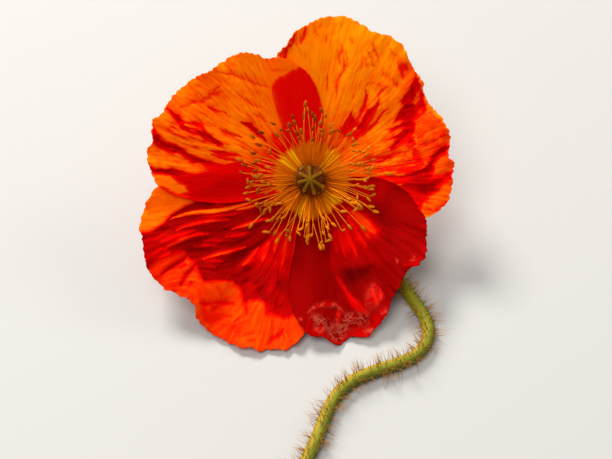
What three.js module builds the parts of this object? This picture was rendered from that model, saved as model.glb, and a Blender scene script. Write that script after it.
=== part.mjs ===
// A cut Iceland poppy, wide open, lying on a flat surface.
// Millimetres, +Z up. The flower looks up and towards -Y; the stem lies in a double bend on the surface.
// Inside the flower's own frame the origin is the receptacle's top face, +Z is the flower's axis and
// +Y is the side of the flower that is lifted off the surface.

import * as THREE from "three";

// ---- Driving dimensions ----

const LEAN = 32; // degrees between the flower's axis and the vertical
const RECEPTACLE_HEIGHT = 16.4; // of the receptacle's top face above the surface
const RECEPTACLE_RADIUS = 5.0;
const RECEPTACLE_DEPTH = 1.6;
const SEAT_GAP = 0.35; // left between pieces that touch

const BOWL_DEPTH = 12.5; // from the receptacle to the rim of the open flower
const BOWL_REACH = 52.0; // radius at which the bowl levels out
const RIM_RADIUS = 45.0; // the flower's usual radius, which scales the waves of its rim
const PETAL_THICKNESS = 0.45;
const CLAW_RADIUS = RECEPTACLE_RADIUS + SEAT_GAP; // where the petals start
const CLAW_DROP = 1.3; // the outer petals start this far below the receptacle's top
const CLAW_SPREAD = 0.6; // a petal's angular width at its claw, over that at its margin
const LAYER_STEP = [0.8, 1.7]; // height of the inner petals over the outer ones, at the claw and the rim
const PETAL_COLUMNS = 26;
const PETAL_ROWS = 9;

const WAVES = [
  // lobes round the flower, height at the rim, phase in degrees
  { lobes: 7, height: 1.1, phase: 20 },
  { lobes: 16, height: 0.7, phase: 75 },
];
const DROOP = { angle: 286, width: 17, depth: 3.1 }; // the part of the rim that sags onto the surface

const OVARY_RADIUS = 4.1;
const OVARY_HEIGHT = 10.4;
const OVARY_END_ANGLE = 70; // degrees of a cosine arc that its profile covers each way
const PISTIL_TILT = [0.7, -1.2]; // degrees about X and Y, out of the flower's axis
const OVARY_SEAT = 0.45; // height of its foot over the receptacle, which the tilt brings down on one side
const OVARY_STEPS = 10;
const OVARY_SIDES = 14;

const STIGMA_RAYS = 7;
const STIGMA_DISC_RADIUS = 1.5;
const STIGMA_RAY_RADIUS = 4.3;
const STIGMA_THICKNESS = [1.0, 0.6]; // at the centre and at the tips
const STIGMA_DROOP = 1.3;
const STEPS_PER_RAY = 6;
const STIGMA_ROWS = 3;

const FILAMENT_RADIUS = 0.2;
const ANTHER_RADIUS = 0.45;
const ANTHER_LENGTH = 2.3;
const STAMEN_SIDES = 5;
const STAMEN_SEAT = 0.45; // height of the filaments' feet over the receptacle, where they start at a slant
const STAMEN_RINGS = [
  { count: 14, seat: 3.1, reach: 14.2, rise: 11.6 },
  { count: 18, seat: 3.9, reach: 16.4, rise: 9.4 },
  { count: 20, seat: 4.7, reach: 17.8, rise: 7.2 },
];
const REACH_SCATTER = 1.9;
const RISE_SCATTER = 0.9;
const TURN_SCATTER = 2.5; // degrees

const STEM_RADIUS = 1.9;
const STEM_BASE_RADIUS = 2.15;
const STEM_SIDES = 12;
const STEM_STEP = 4.2;
const NECK_LENGTH = 4.2; // from the receptacle's underside to the plain stem

const ORANGE = 0xff7a00;
const ORANGE_RED = 0xf24a00;
const STEM_GREEN = 0x6b7a14;
const OVARY_GREEN = 0x77852a;
const STIGMA_OLIVE = 0x9a8f1e;
const ANTHER_OCHRE = 0xc98a18;

// ---- Outlines of the petals: margin points as [degrees round the axis, radius] ----

const PETAL_OUTER_RIGHT = [
  [-30, 9], [-25, 24], [-18, 33], [-11, 37.5], [0, 39.4], [20, 40], [38, 40], [52, 43.5],
  [66, 45.6], [80, 45.4], [91, 42.8], [99, 38], [107, 33], [116, 24], [121, 17], [124, 9],
];
const PETAL_OUTER_LEFT = [
  [161, 9], [167, 22], [173, 34], [181, 43], [192, 48], [207, 51.8], [222, 49.2], [237, 51.4],
  [252, 50], [264, 46.8], [274, 40], [282, 28], [287, 17], [290, 9],
];
const PETAL_INNER_LEFT = [
  [76, 9], [79, 17], [85, 24], [94, 31], [104, 34.2], [114, 38], [127, 40.8], [144, 44],
  [162, 46.4], [175, 45.4], [183, 42.4], [190, 34], [197, 23], [202, 9],
];
const PETAL_INNER_RIGHT = [
  [254, 9], [256, 20], [259, 33], [265, 40], [274, 45], [288, 46], [298, 44], [308, 38.6],
  [317, 37], [327, 38], [340, 33.8], [350, 28.6], [357, 22.6], [361, 16], [364, 9],
];

// ---- The stem's centreline past the neck, as [x, y, z] over the surface ----

const STEM_ROUTE = [
  [0.3, 6.1, 7.5],
  [2.1, 8.8, 3.9],
  [6.3, 8.4, 2.0],
  [11.0, 2.0, 1.95],
  [17.6, -11.5, 1.95],
  [26.3, -26.3, 1.95],
  [31.7, -33.2, 1.95],
  [34.0, -39.6, 1.95],
  [31.5, -46.2, 1.95],
  [23.6, -52.0, 1.95],
  [13.6, -56.0, 1.95],
  [6.8, -61.6, 1.95],
  [4.0, -69.8, 2.0],
  [1.4, -78.3, 2.05],
  [-5.4, -88.4, 2.1],
  [-14.2, -97.0, 2.15],
  [-25.6, -102.6, 2.15],
];

// ---- Small helpers ----

const radians = THREE.MathUtils.degToRad;

/** A repeatable spread of values between -1 and 1, one for each index. */
function scatter(index, stride) {
  const value = index * stride;
  return 2 * (value - Math.floor(value)) - 1;
}

function finish(color, roughness) {
  return new THREE.MeshStandardMaterial({ color, roughness, metalness: 0 });
}

function namedMesh(name, geometry, material) {
  const mesh = new THREE.Mesh(geometry, material);
  mesh.name = name;
  return mesh;
}

function indexedGeometry(points, triangles) {
  const geometry = new THREE.BufferGeometry();
  geometry.setAttribute("position", new THREE.Float32BufferAttribute(points.flatMap((p) => p.toArray()), 3));
  geometry.setIndex(triangles.flat());
  geometry.computeVertexNormals();
  return geometry;
}

/** One closed round solid along a path: a ring at each centre, and a flat cap at each end. */
function sweptSolid(centres, radii, sides) {
  const points = [];
  const triangles = [];
  const normal = new THREE.Vector3();
  const turn = new THREE.Quaternion();
  let before = null;
  centres.forEach((centre, i) => {
    const ahead = centres[Math.min(i + 1, centres.length - 1)];
    const behind = centres[Math.max(i - 1, 0)];
    const tangent = ahead.clone().sub(behind).normalize();
    if (before === null) {
      normal.set(1, 0, 0).addScaledVector(tangent, -tangent.x).normalize();
    } else {
      normal.applyQuaternion(turn.setFromUnitVectors(before, tangent));
    }
    before = tangent;
    for (let k = 0; k < sides; k += 1) {
      const spoke = normal.clone().applyAxisAngle(tangent, (2 * Math.PI * k) / sides);
      points.push(centre.clone().addScaledVector(spoke, radii[i]));
    }
  });
  for (let i = 0; i + 1 < centres.length; i += 1) {
    for (let k = 0; k < sides; k += 1) {
      const here = i * sides + k;
      const beside = i * sides + ((k + 1) % sides);
      triangles.push([here, beside, beside + sides], [here, beside + sides, here + sides]);
    }
  }
  const last = (centres.length - 1) * sides;
  const startCap = points.push(centres[0].clone()) - 1;
  const endCap = points.push(centres[centres.length - 1].clone()) - 1;
  for (let k = 0; k < sides; k += 1) {
    const next = (k + 1) % sides;
    triangles.push([startCap, next, k], [endCap, last + k, last + next]);
  }
  return indexedGeometry(points, triangles);
}

/** One closed solid between an upper and a lower grid of points with the same rows and columns. */
function shellSolid(upper, lower) {
  const rows = upper.length;
  const columns = upper[0].length;
  const points = [...upper.flat(), ...lower.flat()];
  const top = (row, column) => row * columns + column;
  const bottom = (row, column) => rows * columns + top(row, column);
  const triangles = [];
  for (let row = 0; row + 1 < rows; row += 1) {
    for (let column = 0; column + 1 < columns; column += 1) {
      const corners = [[row, column], [row + 1, column], [row + 1, column + 1], [row, column + 1]];
      const [a, b, c, d] = corners.map((corner) => top(...corner));
      const [e, f, g, h] = corners.map((corner) => bottom(...corner));
      triangles.push([a, b, c], [a, c, d], [e, g, f], [e, h, g]);
    }
  }
  const edge = [];
  for (let row = 0; row + 1 < rows; row += 1) edge.push([row, 0]);
  for (let column = 0; column + 1 < columns; column += 1) edge.push([rows - 1, column]);
  for (let row = rows - 1; row > 0; row -= 1) edge.push([row, columns - 1]);
  for (let column = columns - 1; column > 0; column -= 1) edge.push([0, column]);
  edge.forEach((corner, i) => {
    const next = edge[(i + 1) % edge.length];
    triangles.push([top(...corner), bottom(...corner), bottom(...next)]);
    triangles.push([top(...corner), bottom(...next), top(...next)]);
  });
  return indexedGeometry(points, triangles);
}

// ---- Petals ----

/** Height of the outer petals' underside at a radius and an angle, in the flower's frame. */
function bowlHeight(radius, angle) {
  const bowl = (BOWL_DEPTH * (1 - Math.cos(Math.PI * Math.min(radius / BOWL_REACH, 1)))) / 2;
  const outward = (radius / RIM_RADIUS) ** 2;
  const waves = WAVES.reduce(
    (sum, wave) => sum + wave.height * Math.sin(radians(wave.lobes * angle + wave.phase)),
    0,
  );
  const fromDroop = (((angle - DROOP.angle + 540) % 360) - 180) / DROOP.width;
  const droop = DROOP.depth * Math.exp(-(fromDroop ** 2));
  return bowl - CLAW_DROP + outward * (waves - droop);
}

/** How far the inner petals lie over the outer ones at a radius. */
function layerStep(radius) {
  return THREE.MathUtils.mapLinear(radius, CLAW_RADIUS, RIM_RADIUS, ...LAYER_STEP);
}

function petalSolid(outline, isInner) {
  const margin = new THREE.SplineCurve(outline.map(([angle, radius]) => new THREE.Vector2(angle, radius)));
  const middle = (outline[0][0] + outline[outline.length - 1][0]) / 2;
  const underside = [];
  for (let row = 0; row <= PETAL_ROWS; row += 1) {
    const across = row / PETAL_ROWS;
    const line = [];
    for (let column = 0; column <= PETAL_COLUMNS; column += 1) {
      const edge = margin.getPoint(column / PETAL_COLUMNS);
      const clawAngle = middle + (edge.x - middle) * CLAW_SPREAD;
      const angle = THREE.MathUtils.lerp(clawAngle, edge.x, across);
      const radius = THREE.MathUtils.lerp(CLAW_RADIUS, edge.y, across);
      const height = bowlHeight(radius, angle) + (isInner ? layerStep(radius) : 0);
      line.push(new THREE.Vector3(radius * Math.cos(radians(angle)), radius * Math.sin(radians(angle)), height));
    }
    underside.push(line);
  }
  const thickness = new THREE.Vector3(0, 0, PETAL_THICKNESS);
  const upperside = underside.map((line) => line.map((point) => point.clone().add(thickness)));
  return shellSolid(upperside, underside);
}

function petals() {
  const group = new THREE.Group();
  group.add(
    namedMesh("petal_outer_right", petalSolid(PETAL_OUTER_RIGHT, false), finish(ORANGE, 0.6)),
    namedMesh("petal_outer_left", petalSolid(PETAL_OUTER_LEFT, false), finish(ORANGE_RED, 0.6)),
    namedMesh("petal_inner_left", petalSolid(PETAL_INNER_LEFT, true), finish(ORANGE, 0.6)),
    namedMesh("petal_inner_right", petalSolid(PETAL_INNER_RIGHT, true), finish(ORANGE_RED, 0.6)),
  );
  return group;
}

// ---- Pistil ----

/** The ovary stands on the receptacle: a barrel whose profile is a cosine arc, with flat ends. */
function ovarySolid() {
  const profile = [new THREE.Vector2(0, -OVARY_HEIGHT / 2)];
  for (let step = 0; step <= OVARY_STEPS; step += 1) {
    const along = (2 * step) / OVARY_STEPS - 1;
    const radius = OVARY_RADIUS * Math.cos(radians(along * OVARY_END_ANGLE));
    profile.push(new THREE.Vector2(radius, (along * OVARY_HEIGHT) / 2));
  }
  profile.push(new THREE.Vector2(0, OVARY_HEIGHT / 2));
  const geometry = new THREE.LatheGeometry(profile, OVARY_SIDES);
  geometry.rotateX(Math.PI / 2);
  geometry.translate(0, 0, OVARY_SEAT + OVARY_HEIGHT / 2);
  return geometry;
}

/** The stigma is a small disc with drooping rays, on top of the ovary. */
function stigmaSolid() {
  const columns = STIGMA_RAYS * STEPS_PER_RAY;
  const seat = OVARY_SEAT + OVARY_HEIGHT + SEAT_GAP;
  const points = [];
  const triangles = [];
  // The upper surface comes first, then the lower one, each with its middle point and then its rings.
  for (const thick of [1, 0]) {
    points.push(new THREE.Vector3(0, 0, seat + thick * STIGMA_THICKNESS[0]));
    for (let row = 1; row <= STIGMA_ROWS; row += 1) {
      for (let column = 0; column < columns; column += 1) {
        const angle = (2 * Math.PI * column) / columns;
        const rayness = ((1 + Math.cos(STIGMA_RAYS * angle)) / 2) ** 2;
        const edge = THREE.MathUtils.lerp(STIGMA_DISC_RADIUS, STIGMA_RAY_RADIUS, rayness);
        const radius = (edge * row) / STIGMA_ROWS;
        const outward = radius / STIGMA_RAY_RADIUS;
        const height = seat - STIGMA_DROOP * outward ** 2
          + thick * THREE.MathUtils.lerp(...STIGMA_THICKNESS, outward);
        points.push(new THREE.Vector3(radius * Math.cos(angle), radius * Math.sin(angle), height));
      }
    }
  }
  const perSide = 1 + STIGMA_ROWS * columns;
  const at = (side, row, column) => side * perSide + 1 + (row - 1) * columns + (column % columns);
  for (let column = 0; column < columns; column += 1) {
    triangles.push([0, at(0, 1, column), at(0, 1, column + 1)]);
    triangles.push([perSide, at(1, 1, column + 1), at(1, 1, column)]);
    for (let row = 1; row < STIGMA_ROWS; row += 1) {
      const [a, b] = [at(0, row, column), at(0, row + 1, column)];
      const [c, d] = [at(0, row + 1, column + 1), at(0, row, column + 1)];
      triangles.push([a, b, c], [a, c, d]);
      triangles.push([a + perSide, c + perSide, b + perSide], [a + perSide, d + perSide, c + perSide]);
    }
    const [rim, next] = [at(0, STIGMA_ROWS, column), at(0, STIGMA_ROWS, column + 1)];
    triangles.push([rim, rim + perSide, next + perSide], [rim, next + perSide, next]);
  }
  return indexedGeometry(points, triangles);
}

function pistil() {
  const group = new THREE.Group();
  group.rotation.set(...PISTIL_TILT.map(radians), 0);
  group.add(
    namedMesh("ovary", ovarySolid(), finish(OVARY_GREEN, 0.7)),
    namedMesh("stigma", stigmaSolid(), finish(STIGMA_OLIVE, 0.85)),
  );
  return group;
}

// ---- Stamens ----

/** A stamen is a fine filament that leans outward, with a plump anther at its tip. */
function stamenSolid(seat, reach, rise) {
  const root = new THREE.Vector3(seat, 0, STAMEN_SEAT);
  const bend = new THREE.Vector3(THREE.MathUtils.lerp(seat, reach, 0.36), 0, rise * 0.62);
  const tip = new THREE.Vector3(reach, 0, rise);
  const filament = new THREE.QuadraticBezierCurve3(root, bend, tip);
  const onward = filament.getTangent(1);
  const centres = [0, 0.35, 0.7, 1].map((t) => filament.getPoint(t));
  const radii = [FILAMENT_RADIUS, FILAMENT_RADIUS, FILAMENT_RADIUS, FILAMENT_RADIUS];
  [[0.2, 0.8], [0.5, 1], [0.8, 0.9], [1, 0.4]].forEach(([along, fullness]) => {
    centres.push(tip.clone().addScaledVector(onward, along * ANTHER_LENGTH));
    radii.push(fullness * ANTHER_RADIUS);
  });
  return sweptSolid(centres, radii, STAMEN_SIDES);
}

function stamens() {
  const group = new THREE.Group();
  let number = 0;
  STAMEN_RINGS.forEach(({ count, seat, reach, rise }, ring) => {
    for (let place = 0; place < count; place += 1) {
      number += 1;
      const stamen = namedMesh(
        `stamen_${String(number).padStart(2, "0")}`,
        stamenSolid(
          seat,
          reach + REACH_SCATTER * scatter(number, 0.618),
          rise + RISE_SCATTER * scatter(number, 0.414),
        ),
        finish(ANTHER_OCHRE, 0.75),
      );
      const turn = (360 * (place + ring / 3)) / count + TURN_SCATTER * scatter(number, 0.732);
      stamen.rotation.z = radians(turn);
      group.add(stamen);
    }
  });
  return group;
}

// ---- Stem, with the receptacle that it widens into ----

/** Turns a point of the flower's axis into the frame of the surface. */
function onAxis(height) {
  const lean = radians(LEAN);
  return new THREE.Vector3(0, -height * Math.sin(lean), RECEPTACLE_HEIGHT + height * Math.cos(lean));
}

/** Radius of the stem at a distance from the receptacle's top face. */
function stemRadius(distance, length) {
  if (distance <= RECEPTACLE_DEPTH) return RECEPTACLE_RADIUS;
  const pastNeck = distance - RECEPTACLE_DEPTH - NECK_LENGTH;
  if (pastNeck <= 0) {
    return STEM_RADIUS + (RECEPTACLE_RADIUS - STEM_RADIUS) * (pastNeck / NECK_LENGTH) ** 4;
  }
  return THREE.MathUtils.lerp(STEM_RADIUS, STEM_BASE_RADIUS, distance / length);
}

function stemSolid() {
  const neckEnd = -RECEPTACLE_DEPTH - NECK_LENGTH;
  const straight = [0, neckEnd / 2, neckEnd].map(onAxis);
  const route = new THREE.CatmullRomCurve3(
    [...straight, ...STEM_ROUTE.map((point) => new THREE.Vector3(...point))],
    false,
    "centripetal",
  );
  const length = route.getLength();
  const distances = [0, RECEPTACLE_DEPTH];
  for (const share of [0.12, 0.35, 0.65, 1]) distances.push(RECEPTACLE_DEPTH + share * NECK_LENGTH);
  const plainLength = length + neckEnd;
  const steps = Math.round(plainLength / STEM_STEP);
  for (let step = 1; step <= steps; step += 1) distances.push(-neckEnd + (plainLength * step) / steps);
  const centres = distances.map((distance) => route.getPointAt(Math.min(distance / length, 1)));
  return sweptSolid(centres, distances.map((distance) => stemRadius(distance, length)), STEM_SIDES);
}

// ---- The whole flower ----

function poppyFlower() {
  const flower = new THREE.Group();
  flower.rotation.x = radians(LEAN);
  flower.position.z = RECEPTACLE_HEIGHT;
  flower.add(petals(), pistil(), stamens());

  const poppy = new THREE.Group();
  poppy.add(flower, namedMesh("stem", stemSolid(), finish(STEM_GREEN, 0.65)));

  // The origin is the middle of the whole, at the surface it lies on.
  const box = new THREE.Box3().setFromObject(poppy, true);
  const middle = box.getCenter(new THREE.Vector3());
  poppy.position.set(-middle.x, -middle.y, -box.min.z);
  return poppy;
}

export default poppyFlower();
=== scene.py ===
"""A cut Iceland poppy, wide open, lying on a flat surface: petals, stamens, pistil and bristly stem.

Sizes are in millimetres until a piece is placed. Inside the flower's own frame the origin is the middle of
the receptacle's top face, +Z is the flower's axis, and angles run anticlockwise round it from +X.
"""
import logging
import math
from dataclasses import dataclass, field
from enum import Enum

import bmesh
import bpy
import numpy as np
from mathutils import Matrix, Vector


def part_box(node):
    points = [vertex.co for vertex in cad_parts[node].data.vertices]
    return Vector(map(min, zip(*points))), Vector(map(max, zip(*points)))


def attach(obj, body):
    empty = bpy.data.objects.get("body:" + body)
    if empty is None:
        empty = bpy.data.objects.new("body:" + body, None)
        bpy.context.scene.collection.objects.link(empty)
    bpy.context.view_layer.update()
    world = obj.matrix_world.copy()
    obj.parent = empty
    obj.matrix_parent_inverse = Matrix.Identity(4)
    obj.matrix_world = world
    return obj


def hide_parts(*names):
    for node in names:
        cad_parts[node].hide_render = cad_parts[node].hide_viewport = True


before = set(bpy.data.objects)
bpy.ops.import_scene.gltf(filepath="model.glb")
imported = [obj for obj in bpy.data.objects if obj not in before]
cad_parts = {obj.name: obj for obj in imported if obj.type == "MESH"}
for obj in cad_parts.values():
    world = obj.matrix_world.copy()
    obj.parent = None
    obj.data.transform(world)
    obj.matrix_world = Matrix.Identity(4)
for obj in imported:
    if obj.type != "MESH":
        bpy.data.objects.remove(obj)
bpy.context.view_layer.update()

Numbers = np.ndarray
Piece = bpy.types.Object
Material = bpy.types.Material
Socket = bpy.types.NodeSocket
Faces = list[tuple[int, ...]]
Pair = tuple[float, float]
Triple = tuple[float, float, float]
Colour = Triple

MM = 0.001  # metres
LOG = logging.getLogger("poppy")


# ---- Frames, noise and meshes ----


def turn_about(axis: int, angle: float) -> Numbers:
    """A turn about one of the axes.

    Args:
        axis: 0 for X, 1 for Y, 2 for Z.
        angle: how far it turns, in degrees.

    Returns:
        The matrix, which turns points given as columns.
    """
    turn = math.radians(angle)
    first, second = (axis + 1) % 3, (axis + 2) % 3
    matrix = np.eye(3)
    matrix[first, first] = matrix[second, second] = math.cos(turn)
    matrix[second, first] = math.sin(turn)
    matrix[first, second] = -math.sin(turn)
    return matrix


@dataclass(frozen=True)
class FlowerFrame:
    """The flower's own frame, and how it stands in the row's frame.

    The flower leans towards -Y, and its pistil is tilted a little out of the flower's axis.
    """

    lean: float = 32.0
    pistil_tilt: Pair = (0.7, -1.2)
    ovary_middle: float = 5.65
    receptacle_height: float = 16.4

    def axes(self) -> Numbers:
        """Returns the flower's X, Y and Z directions in the row's frame, one in each row."""
        return np.ascontiguousarray(turn_about(0, self.lean).T)

    def pistil_turn(self) -> Numbers:
        """Returns the matrix that tilts the pistil inside the flower's frame."""
        return turn_about(0, self.pistil_tilt[0]) @ turn_about(1, self.pistil_tilt[1])

    def origin(self) -> Numbers:
        """The middle of the receptacle's top face, found from the ovary.

        Returns:
            The point in the row's frame, in millimetres.
        """
        low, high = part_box("ovary")
        middle = np.array((low + high) / 2) / MM
        pistil_axis = self.pistil_turn()[:, 2] @ self.axes()
        return middle - pistil_axis * self.ovary_middle

    def place(self, points: Numbers) -> Numbers:
        """Moves points from the flower's frame to the row's.

        Args:
            points: one point in each row, in millimetres.

        Returns:
            The same points in the row's frame, in millimetres.
        """
        return points @ self.axes() + self.origin()

    def place_pistil(self, points: Numbers) -> Numbers:
        """Tilts the pistil's points, then moves them to the row's frame."""
        return self.place(points @ self.pistil_turn().T)

    def surface_origin(self) -> Numbers:
        """Returns the surface's point below the receptacle, where the stem's route is measured from."""
        return self.origin() - np.array([0.0, 0.0, self.receptacle_height])


class CrinkleNoise:
    """Repeatable smooth noise over a plane, for folds and crinkles."""

    SIZE = 128
    GAIN = 1.7

    def __init__(self, seed: int) -> None:
        """Fills a table of slopes from a seed.

        Args:
            seed: where the chance starts from.
        """
        turns = np.random.default_rng(seed).uniform(0.0, 2 * np.pi, (self.SIZE, self.SIZE))
        self.east = np.cos(turns)
        self.north = np.sin(turns)

    def smooth(self, x: Numbers, y: Numbers) -> Numbers:
        """Noise between about -1 and 1 whose bumps are about one unit across.

        Args:
            x: first coordinates.
            y: second coordinates, of the same shape.

        Returns:
            The noise at each point.
        """
        column = np.floor(x).astype(int)
        row = np.floor(y).astype(int)
        u = x - column
        v = y - row
        ease_u = u * u * u * (u * (6 * u - 15) + 10)
        ease_v = v * v * v * (v * (6 * v - 15) + 10)

        def corner(right: int, up: int) -> Numbers:
            """The slope of one corner of the cell, as seen from each point."""
            i = (column + right) % self.SIZE
            j = (row + up) % self.SIZE
            return self.east[i, j] * (u - right) + self.north[i, j] * (v - up)

        lower = corner(0, 0) * (1 - ease_u) + corner(1, 0) * ease_u
        upper = corner(0, 1) * (1 - ease_u) + corner(1, 1) * ease_u
        return self.GAIN * (lower * (1 - ease_v) + upper * ease_v)

    def creased(self, x: Numbers, y: Numbers) -> Numbers:
        """Noise with sharp crests, as in crushed silk: 1 on the crests and about -1 between them."""
        return 1.0 - 2.6 * np.abs(self.smooth(x, y))


def smooth_step(low: float, high: float, values: Numbers) -> Numbers:
    """0 below low, 1 above high, and a smooth rise between them."""
    share = np.clip((values - low) / (high - low), 0.0, 1.0)
    return share * share * (3 - 2 * share)


def bump_at(middle: float, width: float, values: Numbers) -> Numbers:
    """1 at the middle, falling to 0 on both sides within about twice the width."""
    return np.exp(-(((values - middle) / width) ** 2))


def round_axis(radius: Numbers, angle: Numbers) -> Numbers:
    """Points of a plane at radii and angles in degrees round the axis, one in each row."""
    turn = np.radians(angle)
    return np.stack([radius * np.cos(turn), radius * np.sin(turn)], axis=1)


def lengths_along(points: Numbers) -> Numbers:
    """How far along a path each of its points lies."""
    return np.concatenate([[0.0], np.cumsum(np.linalg.norm(np.diff(points, axis=0), axis=1))])


def spline_points(points: list[Pair] | Numbers, places: Numbers) -> Numbers:
    """Points along a smooth curve through a few given points.

    Args:
        points: the points that the curve passes through.
        places: where to read the curve, from 0 at its first point to 1 at its last.

    Returns:
        One point of the curve in each row.
    """
    known = np.array(points, float)
    last = len(known) - 1
    along = np.clip(places, 0.0, 1.0) * last
    index = np.minimum(np.floor(along).astype(int), last - 1)
    share = (along - index)[:, None]
    before = known[np.maximum(index - 1, 0)]
    start = known[index]
    end = known[index + 1]
    after = known[np.minimum(index + 2, last)]
    leave = (end - before) / 2
    arrive = (after - start) / 2
    cubic = 2 * start - 2 * end + leave + arrive
    square = -3 * start + 3 * end - 2 * leave - arrive
    return cubic * share**3 + square * share**2 + leave * share + start


def distance_to_path(points: Numbers, path: Numbers) -> tuple[Numbers, Numbers, Numbers]:
    """Distances from points to a path of straight steps in a plane.

    Args:
        points: one point in each row.
        path: the path's corners, one in each row.

    Returns:
        The distance to the path, the side of it as 1 on the left or -1 on the right, and how far along
        the path the nearest point lies, from 0 to 1.
    """
    best = np.full(len(points), np.inf)
    side = np.ones(len(points))
    along = np.zeros(len(points))
    steps = len(path) - 1
    for i in range(steps):
        step = path[i + 1] - path[i]
        offset = points - path[i]
        share = np.clip(offset @ step / max(step @ step, 1e-9), 0.0, 1.0)
        gap = offset - share[:, None] * step
        distance = np.hypot(gap[:, 0], gap[:, 1])
        nearer = distance < best
        turn = step[0] * offset[:, 1] - step[1] * offset[:, 0]
        best = np.where(nearer, distance, best)
        side = np.where(nearer, np.sign(turn), side)
        along = np.where(nearer, (i + share) / steps, along)
    return best, side, along


@dataclass
class Shape:
    """A mesh in the making: points, faces, and a value for each point under each layer's name."""

    points: Numbers
    faces: Faces
    layers: dict[str, Numbers] = field(default_factory=dict)

    @classmethod
    def joined(cls, shapes: list["Shape"]) -> "Shape":
        """Joins several shapes with the same layers into one.

        Args:
            shapes: the shapes to join.

        Returns:
            One shape that holds them all.
        """
        faces: Faces = []
        start = 0
        for shape in shapes:
            faces += [tuple(start + corner for corner in face) for face in shape.faces]
            start += len(shape.points)
        names = shapes[0].layers
        layers = {name: np.concatenate([shape.layers[name] for shape in shapes]) for name in names}
        return cls(np.concatenate([shape.points for shape in shapes]), faces, layers)

    def build(self, name: str, material: Material) -> Piece:
        """Makes the Blender object.

        Args:
            name: the object's name.
            material: the finish of its whole surface.

        Returns:
            The object, linked to the scene, in metres.
        """
        mesh = bpy.data.meshes.new(name)
        mesh.from_pydata((self.points * MM).tolist(), [], self.faces)
        for layer, values in self.layers.items():
            attribute = mesh.attributes.new(layer, "FLOAT", "POINT")
            attribute.data.foreach_set("value", np.ascontiguousarray(values, dtype=np.float32))
        mesh.materials.append(material)
        mesh.shade_smooth()
        mesh.update()
        piece = bpy.data.objects.new(name, mesh)
        bpy.context.scene.collection.objects.link(piece)
        return piece


def settle(piece: Piece, slot: str, *nodes: str) -> Piece:
    """Attaches a finished piece to the body and hides the frame's nodes that it stands for.

    Args:
        piece: the finished object.
        slot: not used.
        nodes: names of the nodes that it replaces, if any.

    Returns:
        The same object.
    """
    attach(piece, "root")
    if nodes:
        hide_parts(*nodes)
    return piece


def shell_faces(rows: int, columns: int) -> Faces:
    """Faces of a closed shell whose upper grid of points comes first and whose lower grid comes next.

    Args:
        rows: number of rows of points in each grid.
        columns: number of points in each row.

    Returns:
        The faces of both sides and of the edge between them.
    """
    under = rows * columns
    faces: Faces = []
    for row in range(rows - 1):
        for column in range(columns - 1):
            a = row * columns + column
            b, c, d = a + columns, a + columns + 1, a + 1
            faces.append((a, b, c, d))
            faces.append((a + under, d + under, c + under, b + under))
    edge = [row * columns for row in range(rows - 1)]
    edge += [(rows - 1) * columns + column for column in range(columns - 1)]
    edge += [row * columns + columns - 1 for row in range(rows - 1, 0, -1)]
    edge += list(range(columns - 1, 0, -1))
    for corner, following in zip(edge, edge[1:] + edge[:1]):
        faces.append((corner, corner + under, following + under, following))
    return faces


def tube(centres: Numbers, rings: Numbers, first_side: Numbers | None = None) -> Shape:
    """A closed tube along a path, with a ring of its own at each centre.

    Args:
        centres: the path, one point in each row.
        rings: for each centre, the radius at each place round the ring.
        first_side: a direction that the first place of each ring faces, or None for any.

    Returns:
        The tube, with the layer "along" running from 0 to 1 and the layer "round" once round each ring.
    """
    count, sides = rings.shape
    tangents = np.gradient(centres, axis=0)
    tangents /= np.linalg.norm(tangents, axis=1)[:, None]
    across = np.array([1.0, 0.0, 0.0] if first_side is None else first_side, float)
    if abs(across @ tangents[0]) > 0.95:
        across = np.array([0.0, 1.0, 0.0])
    turn = np.arange(sides) * 2 * np.pi / sides
    points = np.empty((count, sides, 3))
    for i in range(count):
        across = across - (across @ tangents[i]) * tangents[i]
        across /= np.linalg.norm(across)
        upward = np.cross(tangents[i], across)
        spokes = np.outer(np.cos(turn), across) + np.outer(np.sin(turn), upward)
        points[i] = centres[i] + spokes * rings[i][:, None]
    faces: Faces = []
    for i in range(count - 1):
        for k in range(sides):
            here, beside = i * sides + k, i * sides + (k + 1) % sides
            faces.append((here, beside, beside + sides, here + sides))
    last = (count - 1) * sides
    faces.append(tuple(range(sides - 1, -1, -1)))
    faces.append(tuple(range(last, last + sides)))
    layers = {
        "along": np.repeat(np.linspace(0.0, 1.0, count), sides),
        "round": np.tile(np.arange(sides) / sides, count),
    }
    return Shape(points.reshape(-1, 3), faces, layers)


# ---- Finishes ----


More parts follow.
